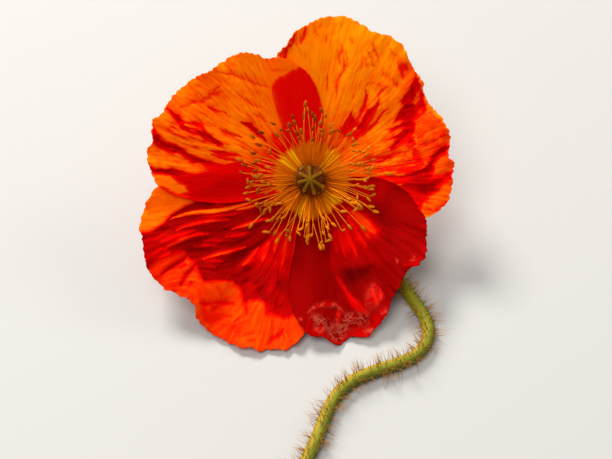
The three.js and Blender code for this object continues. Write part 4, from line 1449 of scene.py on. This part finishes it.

# The petal painted deep red as in shade, that lies over both outer ones, with a lace of painted sheen along
# its lower margin.
INNER_RIGHT_OUTLINE: tuple[Pair, ...] = (
    (254, 9), (255, 15.5), (256.7, 20.4), (257.3, 27.5), (259, 32.3), (263, 37.3), (267, 40.6),
    (269.5, 42.7), (274.5, 43.5), (279.5, 46), (284.5, 44.6), (289.5, 46), (294.5, 44.2), (299.5, 42.4),
    (304.5, 39.2), (309, 38.2), (314.5, 36.7), (319.5, 36.8), (324.5, 37.8), (329.5, 36.6), (334.5, 34.9),
    (339, 33.9), (342, 32.6), (344.5, 30.6), (348.5, 28.5), (353, 26.3), (357.3, 22.9), (361, 20),
    (363, 16), (364.5, 9),
)
# The marks paint the shade and light of the folds and a painted sheen along the lower margin.
INNER_RIGHT_MARKS: tuple[Mark, ...] = (
    Patch((17, -6, 25, -4, 32, -6, 34, -15, 31, -24, 25, -25, 20, -21), 0.835, softness=3.0),
    Patch((11, 2, 20, 2, 24, 0, 20, -6, 12, -6), 0.73, softness=2.0),
    Patch((0, -27, 8, -26, 16, -27, 24, -20, 30, -26, 22, -36, 10, -44, 0, -42), 0.85, softness=2.0),
    Patch((9, -25.5, 13, -24.4, 18, -24.1, 17.2, -27, 14.5, -29.2, 11.5, -30,
        9.5, -28.6), 0.95, -0.4, softness=1.8),
    Patch((4.4, -28, 7.2, -29, 8.2, -32, 5.4, -34, 2, -34.2, 1, -32), 0.87, softness=1.0),
    Patch((22, -2, 27, -4, 29, -8, 26, -9, 21, -6), 0.82, softness=1.4),
    Patch((10.6, -8.4, 12.5, -8.8, 15, -9.8, 18, -12.2, 20, -14.4, 18.6, -16.2, 15.8, -17.2, 12.4, -14.4,
        10.6, -11), 0.58, 0.5, softness=2.0),
    Patch((7, -14.6, 9.5, -13.8, 11.5, -14.2, 14, -17.2, 12.8, -19.6, 9.8, -20.2, 8.2, -18.6,
        6.4, -18.6), 0.62, 0.3, softness=2.0),
    Fold((11.4, -8.8, 14.6, -11.4, 18.4, -15.4), 1.1, 0.45, 0.3),
    Fold((10.6, -10.2, 13.4, -12.8, 16.8, -16.8), 0.6, 0.47, 0.3),
    Fold((10.2, -11, 12.4, -14, 15.8, -19.4), 0.42, 0.57, 0.3),
    Fold((11, -10.4, 13.4, -13.4, 15.4, -16.4), 0.25, 0.68, -0.3),
    Fold((9, -12.4, 10.6, -16, 13, -21.6), 0.46, 0.57, 0.2),
    Fold((9.9, -12.6, 11.6, -16, 13.4, -19.4), 0.22, 0.7, -0.2),
    Fold((7.6, -13.4, 8.4, -17, 9.6, -22), 0.4, 0.6, 0.2),
    Fold((6.4, -14, 6.8, -17.4, 7.4, -20.6), 0.4, 0.6, 0.2),
    Fold((7.2, -26.6, 8.4, -29.2, 9.8, -31.5), 0.5, 0.7, 0.5),
    Fold((9, -30, 11.2, -33.4, 13, -35.4, 14.8, -37.2, 16.4, -38.6), 1.1, 0.66, 0.6),
    Patch((15.3, -33, 16.6, -29.6, 18, -29, 19.7, -30.6, 20, -33, 18.4, -36.4, 16.5, -37.2,
        15.4, -35.4), 0.73, 0.3, 0.18, 0.5),
    Fold((17.2, -30.4, 18, -33, 18.6, -35.6), 0.35, 0.54, 0.2, 0.2),
    Fold((19.4, -30.6, 19.8, -33, 19, -35), 0.3, 0.56, 0.2, 0.2),
    Patch((0, -38.6, 3.5, -38.8, 5.5, -40.3, 8.5, -39.8, 10.2, -37.8, 13, -37.2, 16.2, -37.8, 15.6, -40.2,
        12.5, -41.6, 10.5, -41.2, 9.8, -43.5, 8, -46, 5.2, -44.8, 4, -42.2,
        1.2, -40.6), 0.84, 0.2, 0.66, 0.5),
    Fold((-1, -38, 0.8, -36.4, 3, -35.4, 5, -35, 6.8, -35.4, 8, -36.4, 9.2, -37.4), 0.3, 0.7, 0.5, 0.7),
    Fold((8.1, -36.6, 7.9, -38.6, 7.2, -40.8), 0.36, 0.62, 0.3, 0.4),
    Fold((0.4, -42.8, 2.6, -42.4, 4, -42.8), 0.7, 0.7, 0.2, 0.6),
    Fold((14.6, -42.6, 16.4, -42.6, 17.6, -41.8), 0.7, 0.7, 0.2, 0.7),
    Fold((19.8, -37.8, 20.6, -36.8, 21.2, -37.8), 0.5, 0.72, 0.2, 0.5),
    Fold((27.9, -22.6, 29, -22.2, 29.8, -22.8), 0.45, 0.72, 0.2, 0.45),
    Fold((24.2, -23.2, 25, -23), 0.4, 0.68, 0.0, 0.5),
    Fold((-3.2, -39, -2.6, -39.8), 0.4, 0.68, 0.0, 0.5),
    Fold((26, -24.6, 29, -24, 32, -22), 0.5, 0.76, 0.2),
    Fold((17, 1.2, 20.5, 0.8, 22.8, -0.6), 0.3, 0.58, 0.2),
)
INNER_RIGHT = Petal(
    name="inner_right_petal", node="petal_inner_right", layer=Layer.INNER, outline=INNER_RIGHT_OUTLINE,
    marks=INNER_RIGHT_MARKS, seed=53, tint=0.8, doubled_shade=0.87, fray=0.4, mottle=0.02, deepen=0.03,
    crepe=(0.35, 36.0, 0.35), gold=((303, 1.8), (310, 1.6), (317, 2), (324, 1.5)), pleat_height=0.42,
    crinkle_height=0.14, curls=((283, 9, 45), (300, 6, 35), (322, 7, 30), (346, 9, 25)),
)

PETALS = (OUTER_RIGHT, OUTER_LEFT, INNER_LEFT, INNER_RIGHT)


# ---- Stamens ----


@dataclass(frozen=True)
class Stamen:
    """One stamen: where its filament stands, how far it leans out, and how its anther sits."""

    turn: float
    seat: float
    reach: float
    rise: float
    nod: float
    twist: float
    sway: float
    tone: float
    size: float = 1.0

    FOOT = 0.45
    FILAMENT_RADIUS = 0.125
    ANTHER_LENGTH = 2.05
    ANTHER_WIDTH = 0.43
    RINGS = 11
    SIDES = 6
    ANTHER_RINGS = 9
    ANTHER_SIDES = 12
    FOOT_SHADE = 0.5
    SHADED_TURN = -60.0
    ANTHER_SHEEN = 0.25
    BRIGHT_TURN = -45.0

    def filament_path(self) -> Numbers:
        """The filament's line, which leaves the receptacle steeply and then leans outward.

        Returns:
            Its points, one in each row, as if it leaned towards +X.
        """
        share = np.linspace(0.0, 1.0, self.RINGS)[:, None]
        root = np.array([self.seat, 0.0, self.FOOT])
        bend = np.array([self.seat + 0.36 * (self.reach - self.seat), 0.0, 0.62 * self.rise])
        tip = np.array([self.reach, 0.0, self.rise])
        path = root * (1 - share) ** 2 + bend * 2 * share * (1 - share) + tip * share**2
        path[:, 1] += self.sway * np.sin(np.pi * 1.4 * share[:, 0]) * share[:, 0]
        return path

    def build(self) -> Shape:
        """Makes the filament and the anther.

        Returns:
            The stamen's shape in the flower's frame.
        """
        path = self.filament_path()
        taper = np.linspace(1.15, 0.85, self.RINGS)[:, None]
        filament = tube(path, self.FILAMENT_RADIUS * taper * np.ones((1, self.SIDES)))
        anther = self.anther(path[-1], path[-1] - path[-2])
        for shape, is_anther in ((filament, 0.0), (anther, 1.0)):
            count = len(shape.points)
            shape.layers["anther"] = np.full(count, is_anther)
            # Painted shadow of the ovary on the filaments' feet on one side, and painted sheen on the
            # anthers on the other.
            foot = 1 - smooth_step(self.seat, self.seat + 5.0, shape.points[:, 0])
            shaded = self.FOOT_SHADE * foot * math.cos(math.radians(self.turn - self.SHADED_TURN))
            faced = self.ANTHER_SHEEN * is_anther * math.cos(math.radians(self.turn - self.BRIGHT_TURN))
            shape.layers["tone"] = self.tone - shaded + faced
        whole = Shape.joined([filament, anther])
        whole.points = whole.points @ np.ascontiguousarray(turn_about(2, self.turn).T)
        return whole

    def anther(self, tip: Numbers, onward: Numbers) -> Shape:
        """The anther: a slim double pod with a groove down each face.

        Args:
            tip: the filament's end.
            onward: the direction in which the filament ends.

        Returns:
            The anther's shape.
        """
        onward = onward / np.linalg.norm(onward)
        nod, twist = math.radians(self.nod), math.radians(self.twist)
        side = np.array([-onward[1], onward[0], 0.0]) + 1e-6
        side /= np.linalg.norm(side)
        lift = np.cross(onward, side)
        line = onward * math.cos(nod) + (side * math.cos(twist) + lift * math.sin(twist)) * math.sin(nod)
        share = np.linspace(0.0, 1.0, self.ANTHER_RINGS)
        length = self.ANTHER_LENGTH * self.size
        bow = 0.16 * length * np.sin(np.pi * share)[:, None] * lift
        centres = tip + np.outer(share - 0.12, line) * length + bow
        fullness = np.sin(np.pi * np.clip(0.06 + 0.9 * share, 0.0, 1.0)) ** 0.45
        turn = np.arange(self.ANTHER_SIDES) * 2 * np.pi / self.ANTHER_SIDES
        pods = 0.62 + 0.38 * np.abs(np.cos(turn)) ** 0.7
        rings = self.ANTHER_WIDTH * self.size * fullness[:, None] * pods[None, :]
        return tube(centres, rings, side)


@dataclass(frozen=True)
class StamenRing:
    """A ring of stamens round the ovary, which may stand for a ring of the frame's stamens."""

    name: str
    count: int
    seat: float
    reach: float
    rise: float
    first_node: int = 0
    start: float = 0.0
    seed: int = 1
    reach_scatter: float = 1.9
    rise_scatter: float = 0.9
    turn_scatter: float = 2.5
    gaps: tuple[float, ...] = ()
    gap_reach: float = 8.0

    @staticmethod
    def scatter(index: int, stride: float) -> float:
        """A repeatable value between -1 and 1 for an index."""
        value = index * stride
        return 2 * (value - math.floor(value)) - 1

    def stamens(self) -> list[Stamen]:
        """Draws up the ring's stamens with small chance changes.

        Returns:
            One stamen for each place that isn't left bare.
        """
        chance = np.random.default_rng(self.seed)
        made = []
        for place in range(self.count):
            number = self.first_node + place
            turn = 360 * (place + self.start) / self.count + self.turn_scatter * self.scatter(number, 0.732)
            if any(abs((turn - gap + 180) % 360 - 180) < self.gap_reach for gap in self.gaps):
                continue
            made.append(Stamen(
                turn=turn,
                seat=self.seat,
                reach=self.reach + self.reach_scatter * self.scatter(number, 0.618),
                rise=self.rise + self.rise_scatter * self.scatter(number, 0.414),
                nod=abs(chance.normal(0.0, 42.0)),
                twist=chance.uniform(0.0, 360.0),
                sway=chance.uniform(-0.9, 0.9),
                # The tone brightens towards one side as painted light, with chance variation.
                tone=0.5 + 0.12 * math.cos(math.radians(turn + 45)) + chance.uniform(-0.25, 0.25),
                size=chance.uniform(0.8, 1.12),
            ))
        return made

    def nodes(self) -> list[str]:
        """Names of the frame's stamens that this ring stands for, none for a ring between the main ones."""
        if self.gaps:
            return []
        return [f"stamen_{self.first_node + place:02d}" for place in range(self.count)]


def ring_between(name: str, *sizes: float, **numbers: float) -> StamenRing:
    """A ring of stamens between the main ones, which leaves bare the petals' claws that are painted gold as
    if lit through.
    """
    claws = (50.0, 127.0, 143.0, 249.0, 306.0, 318.0)
    return StamenRing(name, *sizes, turn_scatter=5.0, gaps=claws, **numbers)


@dataclass(frozen=True)
class Androecium:
    """All the stamens: three main rings, three rings between them, and a few that reach further out."""

    flower: FlowerFrame
    finish: StamenFinish = StamenFinish()
    rings: tuple[StamenRing, ...] = (
        StamenRing("stamens_main_inner", 14, 3.1, 14.2, 11.6, first_node=1, start=0.0, seed=101),
        StamenRing("stamens_main_middle", 18, 3.9, 16.4, 9.4, first_node=15, start=1 / 3, seed=102),
        StamenRing("stamens_main_outer", 20, 4.7, 17.8, 7.2, first_node=33, start=2 / 3, seed=103),
        ring_between("stamens_between_inner", 34, 2.8, 12.4, 12.1, first_node=60, start=0.45, seed=104),
        ring_between("stamens_between_middle", 38, 3.5, 14.6, 10.3, first_node=95, start=0.8, seed=105),
        ring_between("stamens_between_outer", 36, 4.3, 16.8, 8.2, first_node=135, start=0.2, seed=106),
    )
    long_ones: tuple[Triple, ...] = (
        (-24.0, 19.5, 8.0), (-86.0, 18.6, 8.6), (98.0, 20.4, 9.4), (1.5, 21.0, 7.6),
        (168.0, 20.0, 8.2), (214.0, 20.5, 8.0), (244.0, 19.0, 8.4), (141.0, 19.6, 9.0),
    )

    def build(self) -> list[Piece]:
        """Makes every ring of stamens.

        Returns:
            One object for each ring, and one for the long stamens.
        """
        groups = [(ring.name, ring.stamens(), ring.nodes()) for ring in self.rings]
        groups.append(("stamens_long", self.outliers(), []))
        material = self.finish.material()
        pieces = []
        for name, stamens, nodes in groups:
            shape = Shape.joined([stamen.build() for stamen in stamens])
            shape.points = self.flower.place(shape.points)
            pieces.append(settle(shape.build(name, material), "stamen", *nodes))
        return pieces

    def outliers(self) -> list[Stamen]:
        """The few stamens that reach further out than the rest."""
        return [
            Stamen(turn, 4.0, reach, rise, nod=15.0, twist=70.0 * i, sway=1.1 * (-1) ** i, tone=0.7)
            for i, (turn, reach, rise) in enumerate(self.long_ones)
        ]


# ---- Pistil ----


@dataclass(frozen=True)
class Ovary:
    """A ribbed, bristly barrel that stands in the middle of the flower."""

    flower: FlowerFrame
    finish: OvaryFinish = OvaryFinish()
    bristle_finish: BristleFinish = BristleFinish(
        "ovary_bristle", root=(0.05, 0.012, 0.001), tip=(0.16, 0.045, 0.003)
    )
    radius: float = 4.1
    height: float = 10.4
    seat: float = 0.45
    end_angle: float = 70.0
    ribs: int = 7
    rib_height: float = 0.07
    rows: int = 44
    columns: int = 84
    bristles: int = 64
    bristle_seed: int = 211
    bristle_lengths: Pair = (0.5, 1.0)
    bristle_thickness: float = 0.06

    def profile(self, share: Numbers) -> tuple[Numbers, Numbers]:
        """Radius and height over the receptacle at shares of the ovary's height."""
        along = 2 * share - 1
        radius = self.radius * np.cos(np.radians(along * self.end_angle))
        return radius, self.seat + share * self.height

    def build(self) -> Piece:
        """Makes the ovary.

        Returns:
            The ovary's object.
        """
        radius, height = self.profile(np.linspace(0.0, 1.0, self.rows))
        turn = np.arange(self.columns) * 2 * np.pi / self.columns
        rib = (0.5 + 0.5 * np.cos(self.ribs * turn)) ** 0.7
        rings = radius[:, None] * (1 + self.rib_height * (rib[None, :] - 0.6))
        centres = np.stack([np.zeros(self.rows), np.zeros(self.rows), height], axis=1)
        shape = tube(centres, rings)
        shape.layers["rib"] = np.tile(rib, self.rows)
        shape.points = self.flower.place_pistil(shape.points)
        return settle(shape.build("ribbed_ovary", self.finish.material()), "ovary", "ovary")

    def build_bristles(self) -> Piece:
        """Makes the short bristles that lean up the ovary's sides.

        Returns:
            The bristles' object.
        """
        chance = np.random.default_rng(self.bristle_seed)
        hairs = []
        for _ in range(self.bristles):
            share = chance.uniform(0.12, 0.86)
            radius, height = (float(value) for value in self.profile(np.array(share)))
            turn = chance.uniform(0.0, 2 * np.pi)
            outward = np.array([math.cos(turn), math.sin(turn), 0.0])
            root = outward * radius * 0.97 + np.array([0.0, 0.0, height])
            lean = outward * 0.75 + np.array([0.0, 0.0, 0.75])
            length = chance.uniform(*self.bristle_lengths)
            hairs.append(bristle(root, lean, length, self.bristle_thickness, chance.normal(0.0, 0.2, 3)))
        shape = Shape.joined(hairs)
        shape.points = self.flower.place_pistil(shape.points)
        piece = shape.build("ovary_bristles", self.bristle_finish.material())
        return settle(piece, "ovary")


def bristle(root: Numbers, direction: Numbers, length: float, thickness: float, curve: Numbers) -> Shape:
    """One tapering hair.

    Args:
        root: where it grows from.
        direction: the direction in which it starts.
        length: its length.
        thickness: its radius at the root.
        curve: how far its tip is carried aside, as a share of its length.

    Returns:
        The hair's shape.
    """
    share = np.linspace(0.0, 1.0, 5)[:, None]
    line = direction / np.linalg.norm(direction)
    centres = root + length * (line * share + curve * share**2)
    radii = thickness * (1.0 - 0.88 * share) * np.ones((1, 4))
    return tube(centres, radii)


@dataclass(frozen=True)
class Stigma:
    """A small cap with drooping velvety rays, one over each chamber of the ovary."""

    flower: FlowerFrame
    finish: StigmaFinish = StigmaFinish()
    rays: tuple[Pair, ...] = (
        (150.0, 3.7), (95.0, 3.7), (32.0, 3.9), (-31.0, 4.7), (-74.0, 4.5), (-119.0, 4.0), (-165.0, 3.7),
    )
    disc_radius: float = 1.55
    ray_width: float = 0.57
    spine_width: float = 0.42
    seat: float = 11.2
    thickness: Pair = (1.0, 0.55)
    droop: float = 1.7
    rows: int = 26
    columns: int = 252

    def edge(self, turn: Numbers) -> tuple[Numbers, Numbers]:
        """The cap's outline.

        Args:
            turn: angles round the axis, in radians.

        Returns:
            The radius at each angle, and how far each angle is from the middle of its ray.
        """
        radius = np.full(turn.shape, self.disc_radius)
        away = np.full(turn.shape, np.pi)
        for angle, length in self.rays:
            offset = np.abs((turn - math.radians(angle) + np.pi) % (2 * np.pi) - np.pi)
            away = np.minimum(away, offset)
            blade = self.ray_width / np.maximum(np.sin(np.minimum(offset, np.pi / 2)), 1e-6)
            rounded = np.minimum(blade, length * (1 - (offset / 0.17) ** 2 * 0.1))
            radius = np.maximum(radius, np.where(offset < 1.2, rounded, 0.0))
        return radius, away

    def build(self) -> Piece:
        """Makes the stigma as a closed cap.

        Returns:
            The stigma's object.
        """
        turn = np.arange(self.columns + 1) * 2 * np.pi / self.columns
        edge, away = self.edge(turn)
        share = np.linspace(0.02, 1.0, self.rows)[:, None]
        radius = share * edge
        spine = bump_at(0.0, self.spine_width, radius * np.sin(np.minimum(away, np.pi / 2)))
        outward = radius / max(length for _, length in self.rays)
        under = self.seat - self.droop * outward**2
        thick = self.thickness[0] + (self.thickness[1] - self.thickness[0]) * outward
        rounding = np.sqrt(np.clip(1 - share**6, 0.0, 1.0))
        upper = under + thick * (0.35 + 0.65 * rounding) * (0.72 + 0.28 * spine)
        x, y = radius * np.cos(turn), radius * np.sin(turn)
        top = np.stack([x, y, upper], axis=2).reshape(-1, 3)
        bottom = np.stack([x, y, under], axis=2).reshape(-1, 3)
        tips = smooth_step(0.6, 1.0, outward)
        layers = {"crest": np.tile(spine.ravel(), 2), "tip": np.tile(tips.ravel(), 2)}
        points = self.flower.place_pistil(np.concatenate([top, bottom]))
        shape = Shape(points, shell_faces(self.rows, self.columns + 1), layers)
        piece = shape.build("rayed_stigma", self.finish.material())
        self.close_seam(piece)
        return settle(piece, "stigma", "stigma")

    @staticmethod
    def close_seam(piece: Piece) -> None:
        """Joins the cap's first and last columns, so that it closes round the axis.

        Args:
            piece: the stigma's object.
        """
        sheet = bmesh.new()
        sheet.from_mesh(piece.data)
        bmesh.ops.remove_doubles(sheet, verts=sheet.verts, dist=2e-6)
        bmesh.ops.dissolve_degenerate(sheet, edges=sheet.edges, dist=1e-7)
        sheet.to_mesh(piece.data)
        sheet.free()


# ---- Stem ----


@dataclass(frozen=True)
class Stem:
    """The leafless stem: a receptacle, a bend behind the flower, two bends on the surface and a cut end."""

    flower: FlowerFrame
    finish: StemFinish = StemFinish()
    hair_finish: BristleFinish = BristleFinish(
        "stem_bristle", root=(0.26, 0.085, 0.006), tip=(0.62, 0.30, 0.035)
    )
    receptacle_radius: float = 5.0
    receptacle_depth: float = 1.6
    neck_length: float = 4.2
    radius: float = 1.9
    base_radius: float = 2.0
    route: tuple[Triple, ...] = (
        (0.3, 6.1, 7.5), (2.1, 8.8, 3.9), (6.3, 8.4, 2.0), (11.0, 2.0, 1.9), (17.6, -11.5, 1.9),
        (24.2, -22.8, 1.9), (28.8, -30.9, 1.9), (31.7, -36.2, 1.9), (32.8, -40.8, 1.9), (31.8, -45.3, 1.9),
        (28.4, -49.1, 1.9), (23.0, -51.7, 1.9), (17.2, -53.8, 1.9), (11.8, -56.4, 1.9), (7.5, -60.4, 1.9),
        (4.7, -65.3, 1.9), (2.8, -70.6, 1.9), (0.6, -76.2, 1.9), (-2.4, -82.5, 1.9), (-7.4, -90.0, 1.95),
        (-15.2, -97.2, 2.0), (-25.6, -102.6, 2.0),
    )
    step: float = 0.5
    sides: int = 36
    ridges: int = 11
    sunny_side: Triple = (-0.62, 0.70, 0.35)
    hollow_radius: float = 1.15
    hollow_depth: float = 2.2
    seed: int = 71
    face_shading: float = 0.95
    hairs: int = 1150
    hair_seed: int = 307
    hair_lengths: Pair = (2.6, 4.6)
    hair_thickness: float = 0.085
    hair_clearance: float = 0.12

    def centreline(self) -> Numbers:
        """Points along the stem's middle.

        Returns:
            One point in each row, about one step apart, in the row's frame.
        """
        neck = self.receptacle_depth + self.neck_length
        axis = self.flower.axes()[2]
        start = [self.flower.origin() - axis * depth for depth in (0.0, neck / 2, neck)]
        surface = self.flower.surface_origin()
        points = np.array(start + [surface + np.array(point) for point in self.route])
        fine = spline_points(points, np.linspace(0.0, 1.0, 1200))
        lengths = lengths_along(fine)
        places = np.linspace(0.0, lengths[-1], int(lengths[-1] / self.step))
        return np.stack([np.interp(places, lengths, fine[:, i]) for i in range(3)], axis=1)

    def radii(self, distance: Numbers) -> Numbers:
        """The stem's radius along its length, from the receptacle's top face.

        Args:
            distance: the distances, the last of them the stem's whole length.

        Returns:
            A radius for each distance.
        """
        share = np.clip((distance - self.receptacle_depth) / self.neck_length, 0.0, 1.0)
        neck = self.radius + (self.receptacle_radius - self.radius) * (1 - share) ** 3.2
        plain = self.radius + (self.base_radius - self.radius) * distance / distance[-1]
        rounding = 0.5 * np.clip(1 - distance / 0.6, 0.0, 1.0) ** 2
        receptacle = self.receptacle_radius - 0.15 - rounding
        return np.where(distance < self.receptacle_depth, receptacle, np.maximum(neck, plain) - 0.1)

    def build(self) -> Piece:
        """Makes the stem with its ridges, small swellings and hollow cut end.

        Returns:
            The stem's object.
        """
        centres = self.centreline()
        distance = lengths_along(centres)
        along, turn = np.meshgrid(distance, np.arange(self.sides) * 2 * np.pi / self.sides, indexing="ij")
        noise = CrinkleNoise(self.seed)
        ridge = 0.02 * np.cos(self.ridges * turn)
        swelling = 0.018 * noise.smooth(along / 5.0, 1.5 * np.cos(turn))
        pores = 0.012 * noise.smooth(along / 0.9, turn * 5.0)
        rings = self.radii(distance)[:, None] * (1 + ridge + swelling + pores)
        centres, rings, cut = self.hollow_end(centres, rings)
        shape = tube(centres, rings)
        outward = shape.points - np.repeat(centres, self.sides, axis=0)
        outward = outward / np.maximum(rings.reshape(-1, 1), 1e-6)
        shape.layers["cut"] = np.repeat(cut, self.sides)
        # Painted sunlight on the stem's sunny side and painted shade on the far side; the receptacle's face
        # is painted ochre.
        sun = 0.5 + 0.5 * outward @ np.array(self.sunny_side)
        from_face = np.linalg.norm(shape.points - self.flower.origin(), axis=1) - self.receptacle_radius
        face = 1 - smooth_step(0.0, 1.0, from_face)
        shape.layers["flush"] = sun * (1 - face) + self.face_shading * face
        return settle(shape.build("poppy_stem", self.finish.material()), "stem", "stem")

    def hollow_end(self, centres: Numbers, rings: Numbers) -> tuple[Numbers, Numbers, Numbers]:
        """Adds the cut face and the short hollow inside it.

        Args:
            centres: the stem's middle.
            rings: its radii.

        Returns:
            The same two with the rings of the cut face added, and 1 for each added ring, 0 for the rest.
        """
        onward = centres[-1] - centres[-2]
        onward /= np.linalg.norm(onward)
        shares = (0.96, 0.80, 0.62)
        faces = [centres[-1] + onward * 0.02 * (i + 1) for i in range(len(shares))]
        face_rings = [rings[-1] * share for share in shares]
        depths = (0.3, 0.5 * self.hollow_depth, self.hollow_depth)
        inside = [centres[-1] - onward * depth for depth in depths]
        hollow = [np.full(self.sides, self.hollow_radius * share) for share in (1.0, 0.95, 0.7)]
        cut = np.concatenate([np.zeros(len(centres)), np.ones(len(faces) + len(inside))])
        return np.concatenate([centres, faces, inside]), np.concatenate([rings, face_rings, hollow]), cut

    def build_hairs(self) -> Piece:
        """Makes the spreading bristles along the stem.

        Returns:
            The hairs' object.
        """
        chance = np.random.default_rng(self.hair_seed)
        centres = self.centreline()
        distance = lengths_along(centres)
        tangents = np.gradient(centres, axis=0)
        radii = self.radii(distance)
        first = int((self.receptacle_depth + 0.8 * self.neck_length) / self.step)
        hairs = []
        for _ in range(self.hairs):
            i = int(chance.integers(first, len(centres) - 2))
            tangent = tangents[i] / np.linalg.norm(tangents[i])
            side = np.cross(tangent, chance.normal(size=3))
            side /= np.linalg.norm(side)
            if side[2] < -0.35:
                side[2] = -side[2]
            root = centres[i] + side * radii[i] * 0.94
            length = chance.uniform(*self.hair_lengths)
            direction = side + tangent * chance.normal(0.0, 0.22)
            hair = bristle(root, direction, length, self.hair_thickness, chance.normal(0.0, 0.16, 3))
            hair.points[:, 2] = np.maximum(hair.points[:, 2], self.hair_clearance)
            hairs.append(hair)
        piece = Shape.joined(hairs).build("stem_bristles", self.hair_finish.material())
        return settle(piece, "stem")


# ---- Studio ----


@dataclass(frozen=True)
class SoftLight:
    """A large soft lamp, aimed at the flower from a direction."""

    name: str
    azimuth: float
    elevation: float
    distance: float
    size: float
    power: float
    colour: Colour = (1.0, 1.0, 1.0)

    def build(self, target: Numbers) -> Piece:
        """Hangs the lamp.

        Args:
            target: the point that it is aimed at, in metres.

        Returns:
            The lamp's object.
        """
        turn, rise = math.radians(self.azimuth), math.radians(self.elevation)
        back = np.array([math.sin(turn) * math.cos(rise), -math.cos(turn) * math.cos(rise), math.sin(rise)])
        data = bpy.data.lights.new(self.name, "AREA")
        data.shape = "DISK"
        data.size = self.size
        data.energy = self.power
        data.color = self.colour
        lamp = bpy.data.objects.new(self.name, data)
        lamp.location = target + back * self.distance
        lamp.rotation_euler = (math.pi / 2 - rise, 0.0, turn)
        bpy.context.scene.collection.objects.link(lamp)
        return lamp


@dataclass(frozen=True)
class Studio:
    """A pale floor, soft lamps, and a camera that looks into the flower along its axis."""

    flower: FlowerFrame
    camera_offset: Triple = (-1.4, -14.1, 484.0)
    lens: float = 100.0
    sensor: float = 36.0
    floor_half: float = 4.0
    sky: Colour = (1.0, 0.985, 0.96)
    sky_strength: float = 0.36
    lamps: tuple[SoftLight, ...] = (
        SoftLight("key_lamp", 212.0, 46.0, 1.1, 0.38, 17.0, (1.0, 0.97, 0.92)),
        SoftLight("fill_lamp", -40.0, 70.0, 1.3, 0.75, 11.5, (1.0, 0.98, 0.95)),
        SoftLight("side_lamp", 115.0, 35.0, 1.2, 0.5, 3.5, (1.0, 0.95, 0.88)),
    )

    def build(self) -> None:
        """Sets up the floor, lamps, camera and sky round the flower."""
        self.camera()
        self.floor()
        target = self.flower.origin() * MM
        for lamp in self.lamps:
            lamp.build(target)
        world = bpy.data.worlds.new("studio_sky")
        world.use_nodes = True
        background = world.node_tree.nodes["Background"]
        background.inputs["Color"].default_value = clear_colour(self.sky)
        background.inputs["Strength"].default_value = self.sky_strength
        bpy.context.scene.world = world
        bpy.context.scene.view_settings.view_transform = "Standard"
        bpy.context.scene.view_settings.look = "None"

    def camera(self) -> None:
        """Makes the camera, which looks down the flower's axis from in front of it."""
        data = bpy.data.cameras.new("studio_camera")
        data.lens = self.lens
        data.sensor_width = self.sensor
        data.clip_end = 20.0
        camera = bpy.data.objects.new("studio_camera", data)
        camera.location = self.flower.place(np.array([self.camera_offset]))[0] * MM
        camera.rotation_euler = (math.radians(self.flower.lean), 0.0, 0.0)
        bpy.context.scene.collection.objects.link(camera)
        bpy.context.scene.camera = camera

    def floor(self) -> None:
        """Lays the floor."""
        half = self.floor_half / MM
        corners = np.array([(-half, -half, 0.0), (half, -half, 0.0), (half, half, 0.0), (-half, half, 0.0)])
        piece = Shape(corners, [(0, 1, 2, 3)]).build("floor", FloorFinish().material())


def main() -> None:
    """Builds the poppy piece by piece, then the studio round it."""
    logging.basicConfig(level=logging.INFO, format="%(name)s: %(message)s")
    flower = FlowerFrame()
    Studio(flower).build()
    silk = PetalFinish().material()
    pieces = []
    for petal in PETALS:
        others = [other for other in PETALS if other.layer is not petal.layer]
        pieces.append(petal.build(flower, others, silk))
    pieces += Androecium(flower).build()
    ovary, stigma, stem = Ovary(flower), Stigma(flower), Stem(flower)
    pieces += [ovary.build(), ovary.build_bristles(), stigma.build(), stem.build(), stem.build_hairs()]
    for piece in pieces:
        LOG.info("%s: %d faces", piece.name, len(piece.data.polygons))


if __name__ == "__main__":
    main()
